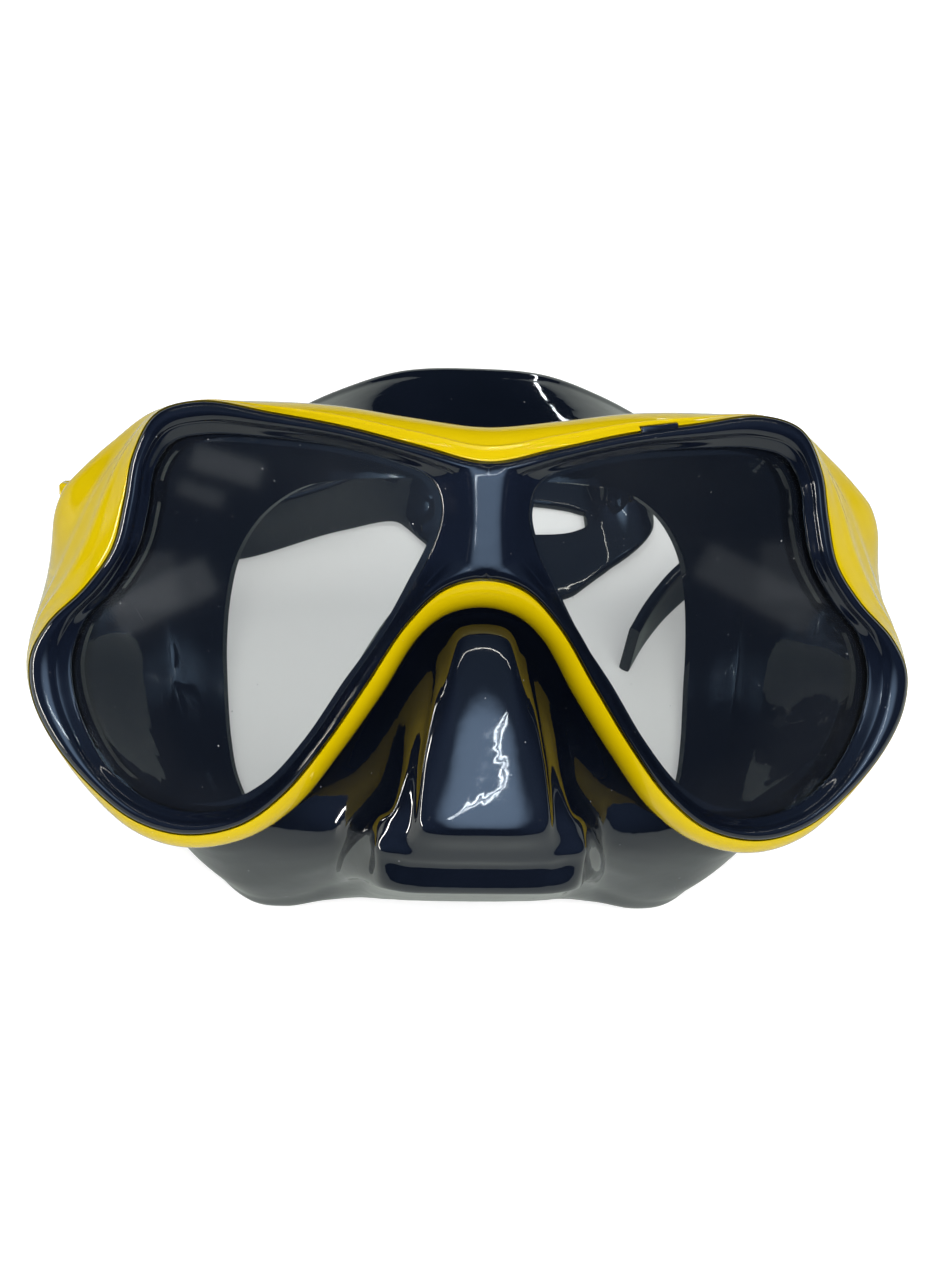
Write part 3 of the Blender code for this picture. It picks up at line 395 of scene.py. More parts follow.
def piece(name, me, mat, body, nodes=(), matrix=LAY):
    """A finished piece in the row frame, riding on a CAD body."""
    me.name = name
    if matrix is not None:
        me.transform(matrix)
        if matrix.determinant() < 0:
            me.flip_normals()
    ob = bpy.data.objects.new(name, me)
    PIECES.objects.link(ob)
    me.materials.clear()
    me.materials.append(mat)
    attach(ob, body)
    if nodes:
        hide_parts(*nodes)
    return ob


def ring_mesh(name, sections, mirror=True):
    rows, cols = len(sections), len(sections[0])
    verts, faces = [], []
    for sec in sections:
        verts.extend(sec)
    for i in range(rows):
        j = (i + 1) % rows
        for k in range(cols):
            m = (k + 1) % cols
            quad = (i * cols + k, i * cols + m, j * cols + m, j * cols + k)
            if mirror and all(abs(verts[q][0]) < 1e-6 for q in quad):
                continue
            faces.append(quad)
    me = bpy.data.meshes.new(name)
    me.from_pydata([tuple(v) for v in verts], [], faces)
    bm = bmesh.new()
    bm.from_mesh(me)
    bmesh.ops.delete(bm, geom=[v for v in bm.verts if not v.link_faces], context='VERTS')
    bmesh.ops.remove_doubles(bm, verts=bm.verts, dist=1e-3)
    bmesh.ops.dissolve_degenerate(bm, edges=bm.edges, dist=1e-4)
    bm.to_mesh(me)
    bm.free()
    return me


def work(name, me):
    ob = bpy.data.objects.new(name, me)
    TOOLS.objects.link(ob)
    return ob


def baked(ob, drop=True):
    """The object's mesh with its modifiers applied; the object itself goes."""
    dg = bpy.context.evaluated_depsgraph_get()
    dg.update()
    me = bpy.data.meshes.new_from_object(ob.evaluated_get(dg))
    if drop:
        bpy.data.objects.remove(ob)
    return me


def mirror_mesh(me):
    ob = work("mirror_work", me)
    m = ob.modifiers.new("mirror", 'MIRROR')
    m.use_axis = (True, False, False)
    m.use_clip = True
    m.merge_threshold = 0.01
    out = baked(ob)
    bm = bmesh.new()
    bm.from_mesh(out)
    bmesh.ops.remove_doubles(bm, verts=bm.verts, dist=1e-3)
    bmesh.ops.recalc_face_normals(bm, faces=bm.faces)
    bm.to_mesh(out)
    bm.free()
    return out


def boolean(me, tools):
    """tools: list of (mesh, operation), cut one after another."""
    for tool, op in tools:
        ob = work("bool_work", me)
        c = work("tool_work", tool)
        m = ob.modifiers.new("cut", 'BOOLEAN')
        m.operation = op
        m.solver = 'EXACT'
        m.object = c
        me = baked(ob)
        bpy.data.objects.remove(c)
        bm = bmesh.new()
        bm.from_mesh(me)
        bmesh.ops.remove_doubles(bm, verts=bm.verts, dist=2e-4)
        bmesh.ops.triangulate(bm, faces=[f for f in bm.faces if len(f.verts) > 4])
        bm.to_mesh(me)
        bm.free()
    return me


def block_mesh(lo, hi, bevel=0.0, turn=None):
    bm = bmesh.new()
    bmesh.ops.create_cube(bm, size=1.0)
    size = Vector(hi) - Vector(lo)
    mid = (Vector(hi) + Vector(lo)) / 2
    for v in bm.verts:
        v.co = Vector((v.co.x * size.x, v.co.y * size.y, v.co.z * size.z)) + mid
    if bevel:
        bmesh.ops.bevel(bm, geom=bm.edges[:], offset=bevel, segments=3, affect='EDGES', profile=0.5)
    if turn is not None:
        bmesh.ops.transform(bm, matrix=turn, verts=bm.verts)
    me = bpy.data.meshes.new("block")
    bm.to_mesh(me)
    bm.free()
    return me


def cylinder_mesh(r, length, loc, seg=48, bevel=0.0):
    """A cylinder along X."""
    bm = bmesh.new()
    bmesh.ops.create_cone(bm, cap_ends=True, segments=seg, radius1=r, radius2=r, depth=length)
    if bevel:
        rims = [e for e in bm.edges if abs(e.verts[0].co.z - e.verts[1].co.z) < 1e-6]
        bmesh.ops.bevel(bm, geom=rims, offset=bevel, segments=3, affect='EDGES', profile=0.5)
    bmesh.ops.transform(bm, matrix=Matrix.Translation(Vector(loc)) @ Matrix.Rotation(math.pi / 2, 4, 'Y'), verts=bm.verts)
    me = bpy.data.meshes.new("cyl")
    bm.to_mesh(me)
    bm.free()
    return me


# ------------------------------------------------------------- bezel
def tab_turn(side):
    turn = Matrix.Rotation(math.radians(side * SWEEP), 4, 'Z') @ Matrix.Rotation(math.radians(-side * 8.0), 4, 'Y')
    return Matrix.Translation(Vector((side * TAB[0], sweep_depth(TAB[0]) + 1.9, TAB[1]))) @ turn


def tab_mesh(side, grow, bevel):
    w, d, h = TAB[2] + grow, TAB[3] + grow, TAB[4] + grow
    return block_mesh((-w / 2, -d / 2, -h / 2), (w / 2, d / 2, h / 2), bevel, tab_turn(side))


def make_bezel(per=10):
    inner, outer, back, wall = lens_rows(per)
    edge = lens_edge(inner, outer)
    # edge round the glass, sloped inner band, step, groove, broad rolled rim
    profile = [(0.0, 3.1), (0.0, 2.30), (0.012, 2.10), (0.03, 2.02), (0.05, 2.04), (0.065, 1.98), (0.12, 1.74),
               (0.19, 1.42), (0.26, 1.10), (0.315, 0.87), (0.335, 0.80), (0.35, 0.84), (0.37, 0.76), (0.40, 0.56),
               (0.44, 0.28), (0.49, 0.02), (0.55, -0.22), (0.63, -0.43), (0.70, -0.54), (0.76, -0.58), (0.82, -0.60),
               (0.87, -0.60), (0.91, -0.60), (0.945, -0.60), (0.97, -0.60), (0.988, -0.60), (1.0, -0.60), (1.0, 5.0)]
    loop = np.vstack([outer[:wall], outer[wall - 1::-1] * (-1, 1)])

    def to_edge(p):
        a, b = loop[:-1], loop[1:]
        d = b - a
        t = np.clip(((p - a) * d).sum(1) / np.maximum((d * d).sum(1), 1e-9), 0, 1)
        return float(np.min(np.hypot(*(p - a - d * t[:, None]).T)))

    sections = []
    rows = len(inner)
    for i in range(rows):
        a, b = inner[i], outer[i]
        # the rim rolls over along the outline; the crease fades out towards the bridge, into one smooth slope
        soft = min(1.0, max(0.0, min(i - wall + 13, rows - i + 12) / 12.0))
        sec = []
        for s, g in profile:
            if 0.02 < s < 0.75:
                u = (s - 0.02) / 0.73
                flat = 2.02 + (-0.58 - 2.02) * (u * u * (3 - 2 * u) * 0.5 + (1 - (1 - u) ** 2.2) * 0.5)
                g = g + (flat - g) * soft
            p = a + (b - a) * s
            if s > 0.4 and g < 2:
                g = max(g, float(np.interp(to_edge(p), (0, 0.05, 0.16, 0.36, 0.70, 1.15, 1.75, 2.5),
                                           (0.75, 0.42, 0.16, -0.08, -0.32, -0.49, -0.575, -0.60))))
            sec.append(at(p, g))
        e = edge[i] + (edge[i] - a) / max(np.linalg.norm(edge[i] - a), 1e-6) * GAP
        sec.append(at(e, 5.0))
        sec.append(at(e, 3.1))
        sections.append(sec)
    me = mirror_mesh(ring_mesh("bezel", sections))
    me = boolean(me, [(tab_mesh(1, 0.0, 0.2), 'UNION')])
    tidy(me, 1e-4, 42)
    return piece("bezel_rim", me, BLACK, "mask", ("bezel",))


# ------------------------------------------------------------- frame
def shoulder(points, k, n, reach):
    """The frame's side wall with its two long soft beads and, by the temples, a shoulder."""
    pts = np.array(points, float)
    out = pts.copy()
    last = len(pts) - 1
    swell = 4.2 * math.exp(-((k - 6.9) / 1.5) ** 2)
    brow = min(1.0, max(0.0, (5.5 - k) / 1.5))
    tall = min(0.30, 0.040 * reach + 0.12 * brow) * min(1.0, max(0.0, 12.5 - k))
    thin = 0.046 - 0.014 * brow
    for j in range(1, last):
        t = j / last
        d = pts[j + 1] - pts[j - 1]
        d = d / np.linalg.norm(d)
        face = np.array([n[0], 0.0, n[1]])
        up = face - d * np.dot(face, d)
        up = up / max(np.linalg.norm(up), 1e-6)
        bead = math.exp(-((t - 0.22) / thin) ** 2) + 0.8 * (1 - brow) * math.exp(-((t - 0.40) / thin) ** 2)
        far = math.sin(math.pi * (t - 0.40) / 0.60) ** 2 if t > 0.40 else 0.0
        out[j] = pts[j] + up * (tall * bead) + face * (swell * far)
    return [tuple(p) for p in out]


def make_frame(per=10, steps=60):
    inner, outer, back, wall = lens_rows(per)
    edge = lens_edge(inner, outer)
    nrm = outline_normals(outer, wall)
    sections = []
    for i in range(len(inner)):
        a, b, f = inner[i], outer[i], back[i]
        away = (edge[i] - a) / max(np.linalg.norm(edge[i] - a), 1e-6)
        rim = edge[i] + away * GAP
        if i >= wall:
            sec = [at(rim, FLANGE_FRONT), at(b, FLANGE_FRONT)]
            sec += [(0.0, sweep_depth(0) + FLANGE_FRONT, float(b[1]))] * (steps + 3)
            sec += [(0.0, sweep_depth(0) + FLANGE_BACK, float(b[1]))] * 2
            sec += [at(b, FLANGE_BACK), at(rim, FLANGE_BACK)]
        else:
            o = b + nrm[i] * GAP
            start = np.array(at(o, 1.0))
            end = np.array(at(f[:2], f[2]))
            mid = np.array(at(o + (f[:2] - o) * 0.95, 1.0 + (f[2] - 1.0) * 0.30))
            wallpts = shoulder(bezier(start, mid, end, steps), i / per, nrm[i], float(np.linalg.norm(f[:2] - o)))
            inward = -nrm[i]
            flat = np.array([inward[0], 0.0, inward[1]])
            if i in (0, wall - 1):
                flat[0] = 0.0
            thick = min(FRAME_WALL, float(np.linalg.norm(f[:2] - b)) + 0.3)
            back_in = end + flat * thick
            front_in = np.array(at(b - nrm[i] * 0.2, FLANGE_BACK))
            sec = [at(rim, FLANGE_FRONT), at(o, FLANGE_FRONT)]
            # soft front corner beside the bezel and a rolled rear edge
            sec += [at(o, 1.45)]
            sec += [tuple(np.array(at(o, 1.12)) * 0.5 + np.array(wallpts[1]) * 0.0 + np.array(at(o, 1.12)) * 0.5)]
            sec += [tuple(w) for w in wallpts[1:-1]]
            tang = np.array(wallpts[-1]) - np.array(wallpts[-2])
            tang = tang / np.linalg.norm(tang)
            roll = min(0.55, thick * 0.3)
            sec += [tuple(end - tang * roll), tuple(end - tang * roll * 0.25 + flat * roll * 0.3), tuple(end + flat * roll)]
            sec += [tuple(back_in)]
            inner_mid = back_in + (front_in - back_in) * 0.5 + flat * (-0.3)
            sec += [tuple(inner_mid), tuple(front_in)]
            sec += [at(b - nrm[i] * 0.4, FLANGE_BACK), at(rim, FLANGE_BACK)]
        sections.append(sec)
    want = max(len(s) for s in sections)
    for s in sections:
        while len(s) < want:
            s.insert(2, s[2])
    me = mirror_mesh(ring_mesh("frame", sections))
    tools = []
    for side in (-1, 1):
        x0, x1 = PIVOT[0] + 3.7, PIVOT[0] + LUG_OUT
        tools.append((cylinder_mesh(7.6, x1 - x0, (side * (x0 + x1) / 2, PIVOT[1], PIVOT[2]), 64), 'UNION'))
        a0, a1 = side * (x0 + 0.23), side * (x1 - 0.37)
        tools.append((block_mesh((min(a0, a1), PIVOT[1] - 12, PIVOT[2] - 6.8), (max(a0, a1), PIVOT[1] + 0.4, PIVOT[2] + 0.5)), 'UNION'))
        tools.append((cylinder_mesh(4.2, 8.0, (side * (x1 + 4.0), PIVOT[1], PIVOT[2]), 48), 'DIFFERENCE'))
        tools.append((cylinder_mesh(2.3, 30, (side * (x0 + 3), PIVOT[1], PIVOT[2]), 32), 'DIFFERENCE'))
        if side == 1:
            tools.append((tab_mesh(side, 0.4, 0.0), 'DIFFERENCE'))
    me = boolean(me, tools)
    tidy(me, 1e-4, 38)
    return piece("frame_shell", me, YELLOW, "mask", ("frame",))


# ------------------------------------------------------------- skirt
# Nose pocket rows from behind the frame's rim to the crest: a front panel, its
# underside, a valley and the flange below it. Keys are places along the outline.
POCKET = {
    18: [(31.6, 17.5, -23.8), (29.8, 17.3, -26), (28.0, 17.2, -28), (26.8, 17.2, -29.5), (26.0, 17.4, -31),
         (25.6, 18.4, -32.5), (25.6, 20, -34), (26.0, 22.5, -35.8), (26.6, 26.5, -38), (27.0, 31.5, -40.6), (27.4, 38, -43.6)],
    18.5: [(27.9, 16.6, -19.2), (25.1, 15.2, -21.6), (22.8, 13.6, -23.6), (21.6, 12.0, -25.1), (21.4, 10.6, -26.8),
           (22.0, 10.2, -28.4), (22.8, 10.6, -30.2), (23.4, 12.0, -32.0), (23.6, 14.6, -34.4), (23.8, 21, -37.6), (24.0, 31, -41.2)],
    19: [(23.6, 15.8, -13.9), (20.4, 12.3, -16.5), (17.6, 9.0, -18.4), (16.3, 5.2, -20.0), (16.4, 1.8, -21.6),
         (17.9, -0.4, -23.2), (18.9, -0.2, -25.4), (19.1, 0.8, -27.8), (19.0, 2.2, -30.2), (19.8, 7.0, -35.2), (20.5, 22, -38.6)],
    20: [(16.6, 14.0, -3.2), (12.9, 7.2, -3.8), (12.9, 2.4, -9.0), (13.7, -0.2, -15.0), (14.9, -3.6, -21.0),
         (15.9, -4.0, -23.6), (17.0, -3.5, -26.4), (17.9, -3.2, -28.4), (17.7, -2.3, -30.4), (17.0, 0.0, -35.6), (16.8, 4.2, -36.4)],
    20.75: [(11.9, 12.2, 3.8), (8.9, 4.9, 1.9), (9.9, -0.9, -6.2), (11.1, -3.9, -14.0), (12.0, -6.4, -21.6),
            (12.4, -6.4, -24.2), (13.4, -5.2, -27.1), (14.2, -4.5, -29.2), (14.1, -3.3, -30.9), (13.6, -1.8, -35.9), (13.4, 1.8, -36.6)],
    21: [(10.3, 11.6, 6.0), (7.9, 3.6, 3.6), (9.1, -2.5, -5.2), (10.4, -5.6, -13.4), (11.2, -8.1, -21.9),
         (11.4, -7.7, -24.4), (12.3, -5.8, -27.4), (12.8, -4.9, -29.5), (12.5, -3.8, -31.0), (12.0, -2.2, -36.0), (11.8, 1.4, -36.6)],
    21.25: [(9.3, 11.1, 7.2), (6.9, 2.9, 5.0), (8.2, -3.3, -4.5), (9.5, -6.4, -13.2), (10.2, -8.9, -22.0),
            (10.4, -8.5, -24.6), (11.1, -6.4, -27.6), (11.5, -5.2, -29.7), (11.3, -4.1, -31.1), (10.8, -2.5, -36.0), (10.6, 1.1, -36.6)],
    22: [(5.0, 9.6, 10.4), (4.4, 2.0, 8.7), (5.4, -4.6, -2.2), (6.2, -7.7, -12.8), (6.6, -9.8, -22.2),
         (6.7, -9.6, -24.9), (7.0, -7.0, -27.8), (7.0, -5.6, -29.9), (7.0, -4.4, -31.2), (6.6, -2.8, -36.0), (6.4, 0.8, -36.6)],
    23: [(0, 9.0, 11.3), (0, 1.6, 9.6), (0, -5.0, -1.0), (0, -8.0, -12.5), (0, -10.1, -22.3),
         (0, -9.9, -24.9), (0, -7.2, -27.9), (0, -5.8, -29.9), (0, -4.5, -31.2), (0, -2.9, -36.0), (0, 0.7, -36.6)]}
MIDS = 11


def skirt_lines(per):
    """Lengthwise lines of the skirt's wall: columns from the lens seat to the mouth."""
    outer = np.array(OUTLINE, float)
    nrm = outline_normals(outer, len(outer))
    count = len(OUTLINE)
    ends, mids = [], {}
    for k in range(count):
        b = outer[k] - nrm[k] * 0.9
        c0 = np.array(at(b, SEAT_FRONT))
        c1 = np.array(at(b, SEAT_FRONT + 3.6))
        crest = np.array(CREST[k], float)
        mouth = np.array(MOUTH[k], float)
        if k in POCKET:
            mids[k] = np.array(POCKET[k], float)
        elif k >= 15:
            way = spline([c1] + [np.array(p, float) for p in NOSE[k - 15]] + [crest], 12)
            mids[k] = way[[int(round(t * (len(way) - 1))) for t in np.linspace(0.10, 0.87, MIDS)]]
        else:
            length = np.linalg.norm(crest - c1)
            p1 = c1 + np.array((0.0, 0.30 * length, 0.0))
            into = crest - c1
            into = into / np.linalg.norm(into) * 0.5 + np.array((0, 0.5, 0))
            if k < 4:
                p1 = c1 + np.array((0.0, 0.20 * length, 0.0))
                into = np.array((0.0, 0.85, 0.35))
            p2 = crest - into * 0.35 * length
            mids[k] = np.array([(1 - t) ** 3 * c1 + 3 * t * (1 - t) ** 2 * p1 + 3 * t * t * (1 - t) * p2 + t ** 3 * crest
                                for t in np.linspace(0.10, 0.90, MIDS)])
        fold = (crest + mouth) / 2 + np.array((0.0, 1.2, 0.0))
        ends.append([c0, c1, crest, fold, mouth])
    for k in POCKET:
        mids[k] = np.array(POCKET[k], float)
    ends = np.array(ends)
    outside = [spline(ends[:, c], per, mirror=True) for c in range(5)]
    keys = sorted(mids)
    steps = [int(round((keys[i + 1] - keys[i]) * per)) for i in range(len(keys) - 1)]
    inside = []
    for c in range(MIDS):
        fine = spline([mids[k][c] for k in keys], 8, mirror=True)
        line = []
        for i, n in enumerate(steps):
            line += [fine[i * 8 + int(round(8 * j / n))] if n in (1, 2, 4, 8) else
                     fine[i * 8 + int(8 * j / n)] * (1 - (8 * j / n) % 1) + fine[min(i * 8 + int(8 * j / n) + 1, len(fine) - 1)] * ((8 * j / n) % 1)
                     for j in range(n)]
        line.append(fine[-1])
        inside.append(np.array(line))
    return outside[:2] + inside + outside[2:]


def make_skirt(per=8, across=5):
    inner, outer, back, wall = lens_rows(per)
    edge = lens_edge(inner, outer)
    lines = skirt_lines(per)
    cols = len(lines)
    nrm = outline_normals(outer, wall)
    verts, faces, grid = [], [], []
    n = len(inner)
    for i in range(n):
        away = (edge[i] - inner[i]) / max(np.linalg.norm(edge[i] - inner[i]), 1e-6)
        lip = inner[i] - away * 1.0
        corner = outer[i] - nrm[i] * 0.9 if i < wall else outer[i]
        row = [at(lip + (corner - lip) * t, SEAT_FRONT) for t in (0.0, 0.12, 0.35, 0.6, 0.85, 1.0)]
        if i < wall:
            path = spline([lines[c][i] for c in range(cols)], across)
            row += [tuple(p) for p in path[1:]]
        ids = []
        for p in row:
            if i in (0, wall - 1) and len(ids) >= 5:
                p = (0.0, p[1], p[2])
            ids.append(len(verts))
            verts.append(p)
        grid.append(ids)
    for i in range(n):
        j = (i + 1) % n
        m = min(len(grid[i]), len(grid[j]))
        for k in range(m - 1):
            faces.append((grid[i][k], grid[j][k], grid[j][k + 1], grid[i][k + 1]))
    me = bpy.data.meshes.new("skirt")
    me.from_pydata([tuple(v) for v in verts], [], faces)
    bm = bmesh.new()
    bm.from_mesh(me)
    bmesh.ops.remove_doubles(bm, verts=bm.verts, dist=1e-3)
    bm.to_mesh(me)
    bm.free()
    ob = work("skirt_work", me)
    m = ob.modifiers.new("mirror", 'MIRROR')
    m.use_axis = (True, False, False)
    m.use_clip = True
    m.merge_threshold = 0.01
    s = ob.modifiers.new("thickness", 'SOLIDIFY')
    s.thickness = SKIRT_THICK
    s.offset = -1.0
    s.use_even_offset = False
    s.use_rim = True
    me = baked(ob)
    tidy(me, 1e-4, 50)
    return piece("skirt_silicone", me, SILICONE, "mask", ("skirt",))


# ------------------------------------------------------------- strap
def wrap(side, turn, b):
    px, py, pz = PIVOT
    lean = math.radians(LEAN)
    wy = py * math.cos(lean) + pz * math.sin(lean)
    wz = -py * math.sin(lean) + pz * math.cos(lean) + REST_Z
    r = ROLLER_R + 0.3 + STRAP_T / 2
    bb = ROLLER_B - r * math.sin(turn) + b
    a = math.radians(BUCKLE_TILT - LEAN)
    return (side * (px + r * math.cos(turn)), wy + bb * math.cos(a), wz + bb * math.sin(a))


def strap_path():
    d = math.sqrt(0.5)
    up = (0, d, d)
    floor = STRAP_W / 2 + 0.3
    flat = STRAP_T / 2
    rows = []

    def put(p, w, h, g=0.8):
        rows.append(tuple(p) + tuple(w) + (h, g))

    hw, ht = STRAP_W / 2, 8.5
    put(wrap(-1, math.pi, 13), up, ht)
    put(wrap(-1, math.pi, 7), up, ht)
    put(wrap(-1, math.pi, 1), up, ht)
    for k in range(1, 6):
        put(wrap(-1, math.pi * (1 - k / 6), 0), up, ht)
    put(wrap(-1, 0, 1), up, hw)
    put(wrap(-1, 0, 8), up, hw)
    put((-75.5, 70.5, 14.0), (0.1, 0.5, 0.86), hw)
    put((-68, 73.5, floor + 0.4), (0, 0.1, 1), hw)
    put((-57, 72.5, floor), (0, 0, 1), hw)
    put((-48, 73.4, floor), (0, 0, 1), hw)
    put((-26, 81.8, floor), (0, 0, 1), hw)
    put((-12, 86.8, 10.3), (0, 0.35, 0.94), 10, 1.0)
    put((-3, 87.6, 7.4), (0, 0.88, 0.47), 13, 1.2)
    put((4, 86.0, 2.0), (0, 1, 0.03), 18, 1.6)
    put((9, 85, flat), (0, 1, 0), 21.5, 3.5)
    put((14, 84.6, flat), (0, 1, 0), 23, 4.3)
    put((21, 84.4, flat), (0, 1, 0), 23, 4.3)
    put((27, 84.3, flat), (0, 1, 0), 20.5, 3.5)
    put((33, 84.6, 2.0), (0, 1, 0.02), 15, 1.4)
    put((38.5, 86.0, 6.6), (-0.2, 0.8, 0.55), 10.5, 0.9)
    put((45, 91.5, 9.2), (0, 0.3, 0.95), hw)
    put((55, 97.5, floor), (0, 0, 1), hw)
    put((66, 98, floor), (0, 0, 1), hw)
    put((75, 91, floor + 0.8), (0, 0.05, 1), hw)
    put((78.2, 80, 11.8), (0, 0.25, 0.97), hw)
    put((77.6, 71.5, 14.3), (0, 0.5, 0.86), hw)
    put(wrap(1, 0, 7), up, hw)
    put(wrap(1, 0, 1), up, hw)
    for k in range(1, 6):
        put(wrap(1, math.pi * k / 6, 0), up, ht)
    put(wrap(1, math.pi, 1), up, ht)
    put(wrap(1, math.pi, 6), up, ht)
    low = ht + 0.3
    put((68.4, 67.5, 14.5), (0, 0.5, 0.86), ht)
    put((64.0, 70.5, 10.6), (0, 0.2, 1), ht)
    put((56.5, 67.5, low), (0, 0, 1), ht)
    put((48, 60, low), (0, 0, 1), ht)
    put((41.5, 51.5, low), (0, 0, 1), ht)
    put((37.5, 44.5, low), (0, 0, 1), ht)
    return rows


def make_strap(per=8):
    """A moulded band of rounded section, with the pad's slot; its tails are plain, without teeth."""
    rows = spline(strap_path(), per)
    n = len(rows)
    run = np.concatenate([[0], np.cumsum(np.linalg.norm(np.diff(rows[:, :3], axis=0), axis=1))])
    total = run[-1]
    verts, faces, open_slot = [], [], []
    half = STRAP_T / 2

    def band(v0, v1, lo_edge, hi_edge):
        """Across positions and their half thickness, rounded at the ends."""
        pts = []
        r = 0.9
        span_ = v1 - v0
        for f, t in ((0.0, 0.15), (0.12, 0.62), (0.4, 0.92), (1.0, 1.0)):
            pts.append((v0 + f * min(r, span_ * 0.25), t if lo_edge else 1.0))
        for f in (0.35, 0.65):
            pts.append((v0 + span_ * f, 1.0))
        for f, t in ((1.0, 1.0), (0.4, 0.92), (0.12, 0.62), (0.0, 0.15)):
            pts.append((v1 - f * min(r, span_ * 0.25), t if hi_edge else 1.0))
        return pts

    per_row = None
    for i in range(n):
        p = rows[i][:3]
        a, b = rows[max(i - 1, 0)][:3], rows[min(i + 1, n - 1)][:3]
        t = (b - a) / np.linalg.norm(b - a)
        w = rows[i][3:6]
        w = w - t * np.dot(w, t)
        w = w / np.linalg.norm(w)
        m = np.cross(t, w)
        h, g = rows[i][6], rows[i][7]
        slotted = g > 2.0
        open_slot.append(slotted)
        left = band(-h, -g, True, slotted)
        right = band(g, h, slotted, True)
        pts = left + right
        per_row = len(pts)
        for k, (v, f) in enumerate(pts):
            for s in (1, -1):
                q = p + w * v + m * (s * half * f)
                q[2] = max(q[2], 0.02 if s * m[2] < 0 or half * f < 0.3 else 0.02)
                verts.append((q[0], q[1] + REST_Y, q[2]))
    width = per_row * 2
    nl = per_row // 2
    for i in range(n - 1):
        both = open_slot[i] and open_slot[i + 1]
        for k in range(per_row - 1):
            if k == nl - 1 and both:
                continue
            a = i * width + k * 2
            c = a + width
            faces.append((a, a + 2, c + 2, c))
            faces.append((a + 1, c + 1, c + 3, a + 3))
        a = i * width
        c = a + width
        faces.append((a, c, c + 1, a + 1))
        e = a + (per_row - 1) * 2
        f = c + (per_row - 1) * 2
        faces.append((e, e + 1, f + 1, f))
        if both:
            a = i * width + (nl - 1) * 2
            c = a + width
            faces.append((a, a + 1, c + 1, c))
            a = i * width + nl * 2
            c = a + width
            faces.append((a, c, c + 1, a + 1))
    ends = [i for i in range(1, n - 1) if open_slot[i] and open_slot[i - 1] != open_slot[i + 1]]
    for r in ends:
        a = r * width + (nl - 1) * 2
        faces.append((a, a + 1, a + 3, a + 2))
    for r in (0, n - 1):
        for k in range(per_row - 1):
            a = r * width + k * 2
            faces.append((a, a + 1, a + 3, a + 2))
    me = bpy.data.meshes.new("strap")
    me.from_pydata([tuple(v) for v in verts], [], faces)
    tidy(me, 1e-3, 45)
    return piece("strap_band", me, SILICONE, "strap", ("strap",), Matrix.Scale(MM, 4))


# ------------------------------------------------------------- small parts
def softened(node_name, name, mat, body, width, angle=30.0, twin=None):
    """The CAD node's shape with its moulded edges rounded."""
    me = NODES[twin or node_name].data.copy()
    if twin:
        me.transform(Matrix.Scale(-1, 4, Vector((1, 0, 0))))
        me.flip_normals()
    bm = bmesh.new()
    bm.from_mesh(me)
    bmesh.ops.remove_doubles(bm, verts=bm.verts, dist=2e-6)
    bmesh.ops.dissolve_limit(bm, angle_limit=math.radians(1.0), verts=bm.verts, edges=bm.edges)
    bm.to_mesh(me)
    bm.free()
    ob = work("soft_work", me)
    m = ob.modifiers.new("bevel", 'BEVEL')
    m.width = width * MM
    m.segments = 2
    m.limit_method = 'ANGLE'
    m.angle_limit = math.radians(angle)
    m.use_clamp_overlap = True
    m.harden_normals = False
    out = baked(ob)
    tidy(out, 1e-7, 40)
    return piece(name, out, mat, body, (node_name,), None)


def repaint(node_name, mat):
    ob = NODES[node_name]
    if not ob.material_slots:
        ob.data.materials.append(mat)
    for s in ob.material_slots:
        s.material = mat


make_bezel()
make_frame()
make_skirt()
make_strap()
for side in ("left", "right"):
    softened("buckle_body_" + side, "buckle_shell_" + side, YELLOW, "buckle_" + side, 0.35,
             twin="buckle_body_left" if side == "right" else None)
    softened("release_lever_" + side, "release_tab_" + side, YELLOW, "lever_" + side, 0.25)
    repaint("lens_" + side, GLASS)
    repaint("strap_roller_" + side, BLACK)
    for n in ("buckle_pin_", "pin_clip_", "lever_pin_", "lever_spring_"):
        repaint(n + side, STEEL)

# ------------------------------------------------------------- stage
m, nt, out = tree("table_white")
co = nt.nodes.new('ShaderNodeTexCoord').outputs['Object']
p = nt.nodes.new('ShaderNodeBsdfPrincipled')
pale = ramp(nt, noise(nt, co, 3.0, 3.0), [(0.3, (0.80, 0.80, 0.80)), (0.7, (0.84, 0.84, 0.84))])
# painted reflection: glossy rays see the table in a dimmer, greener colour than its own, so the black parts show a
# painted grey-green reflection of it
painted_reflection_tint = nt.nodes.new('ShaderNodeMix')
painted_reflection_tint.data_type = 'RGBA'
nt.links.new(nt.nodes.new('ShaderNodeLightPath').outputs['Is Glossy Ray'], painted_reflection_tint.inputs['Factor'])
nt.links.new(pale, painted_reflection_tint.inputs['A'])
painted_reflection_tint.inputs['B'].default_value = (0.44, 0.475, 0.44, 1)
nt.links.new(painted_reflection_tint.outputs['Result'], p.inputs['Base Color'])
p.inputs['Roughness'].default_value = 0.55
lift = nt.nodes.new('ShaderNodeEmission')
lift.inputs['Color'].default_value = (1, 1, 1, 1)
seen = nt.nodes.new('ShaderNodeLightPath').outputs['Is Camera Ray']
nt.links.new(add(nt, seen, 0.36, 'MULTIPLY'), lift.inputs['Strength'])
both = nt.nodes.new('ShaderNodeAddShader')
nt.links.new(p.outputs[0], both.inputs[0])
nt.links.new(lift.outputs[0], both.inputs[1])
nt.links.new(both.outputs[0], out.inputs['Surface'])
TABLE = m
bm = bmesh.new()
bmesh.ops.create_grid(bm, x_segments=2, y_segments=2, size=3.0)
me = bpy.data.meshes.new("table")
bm.to_mesh(me)
bm.free()
floor = bpy.data.objects.new("table", me)
bpy.context.scene.collection.objects.link(floor)
me.materials.append(TABLE)

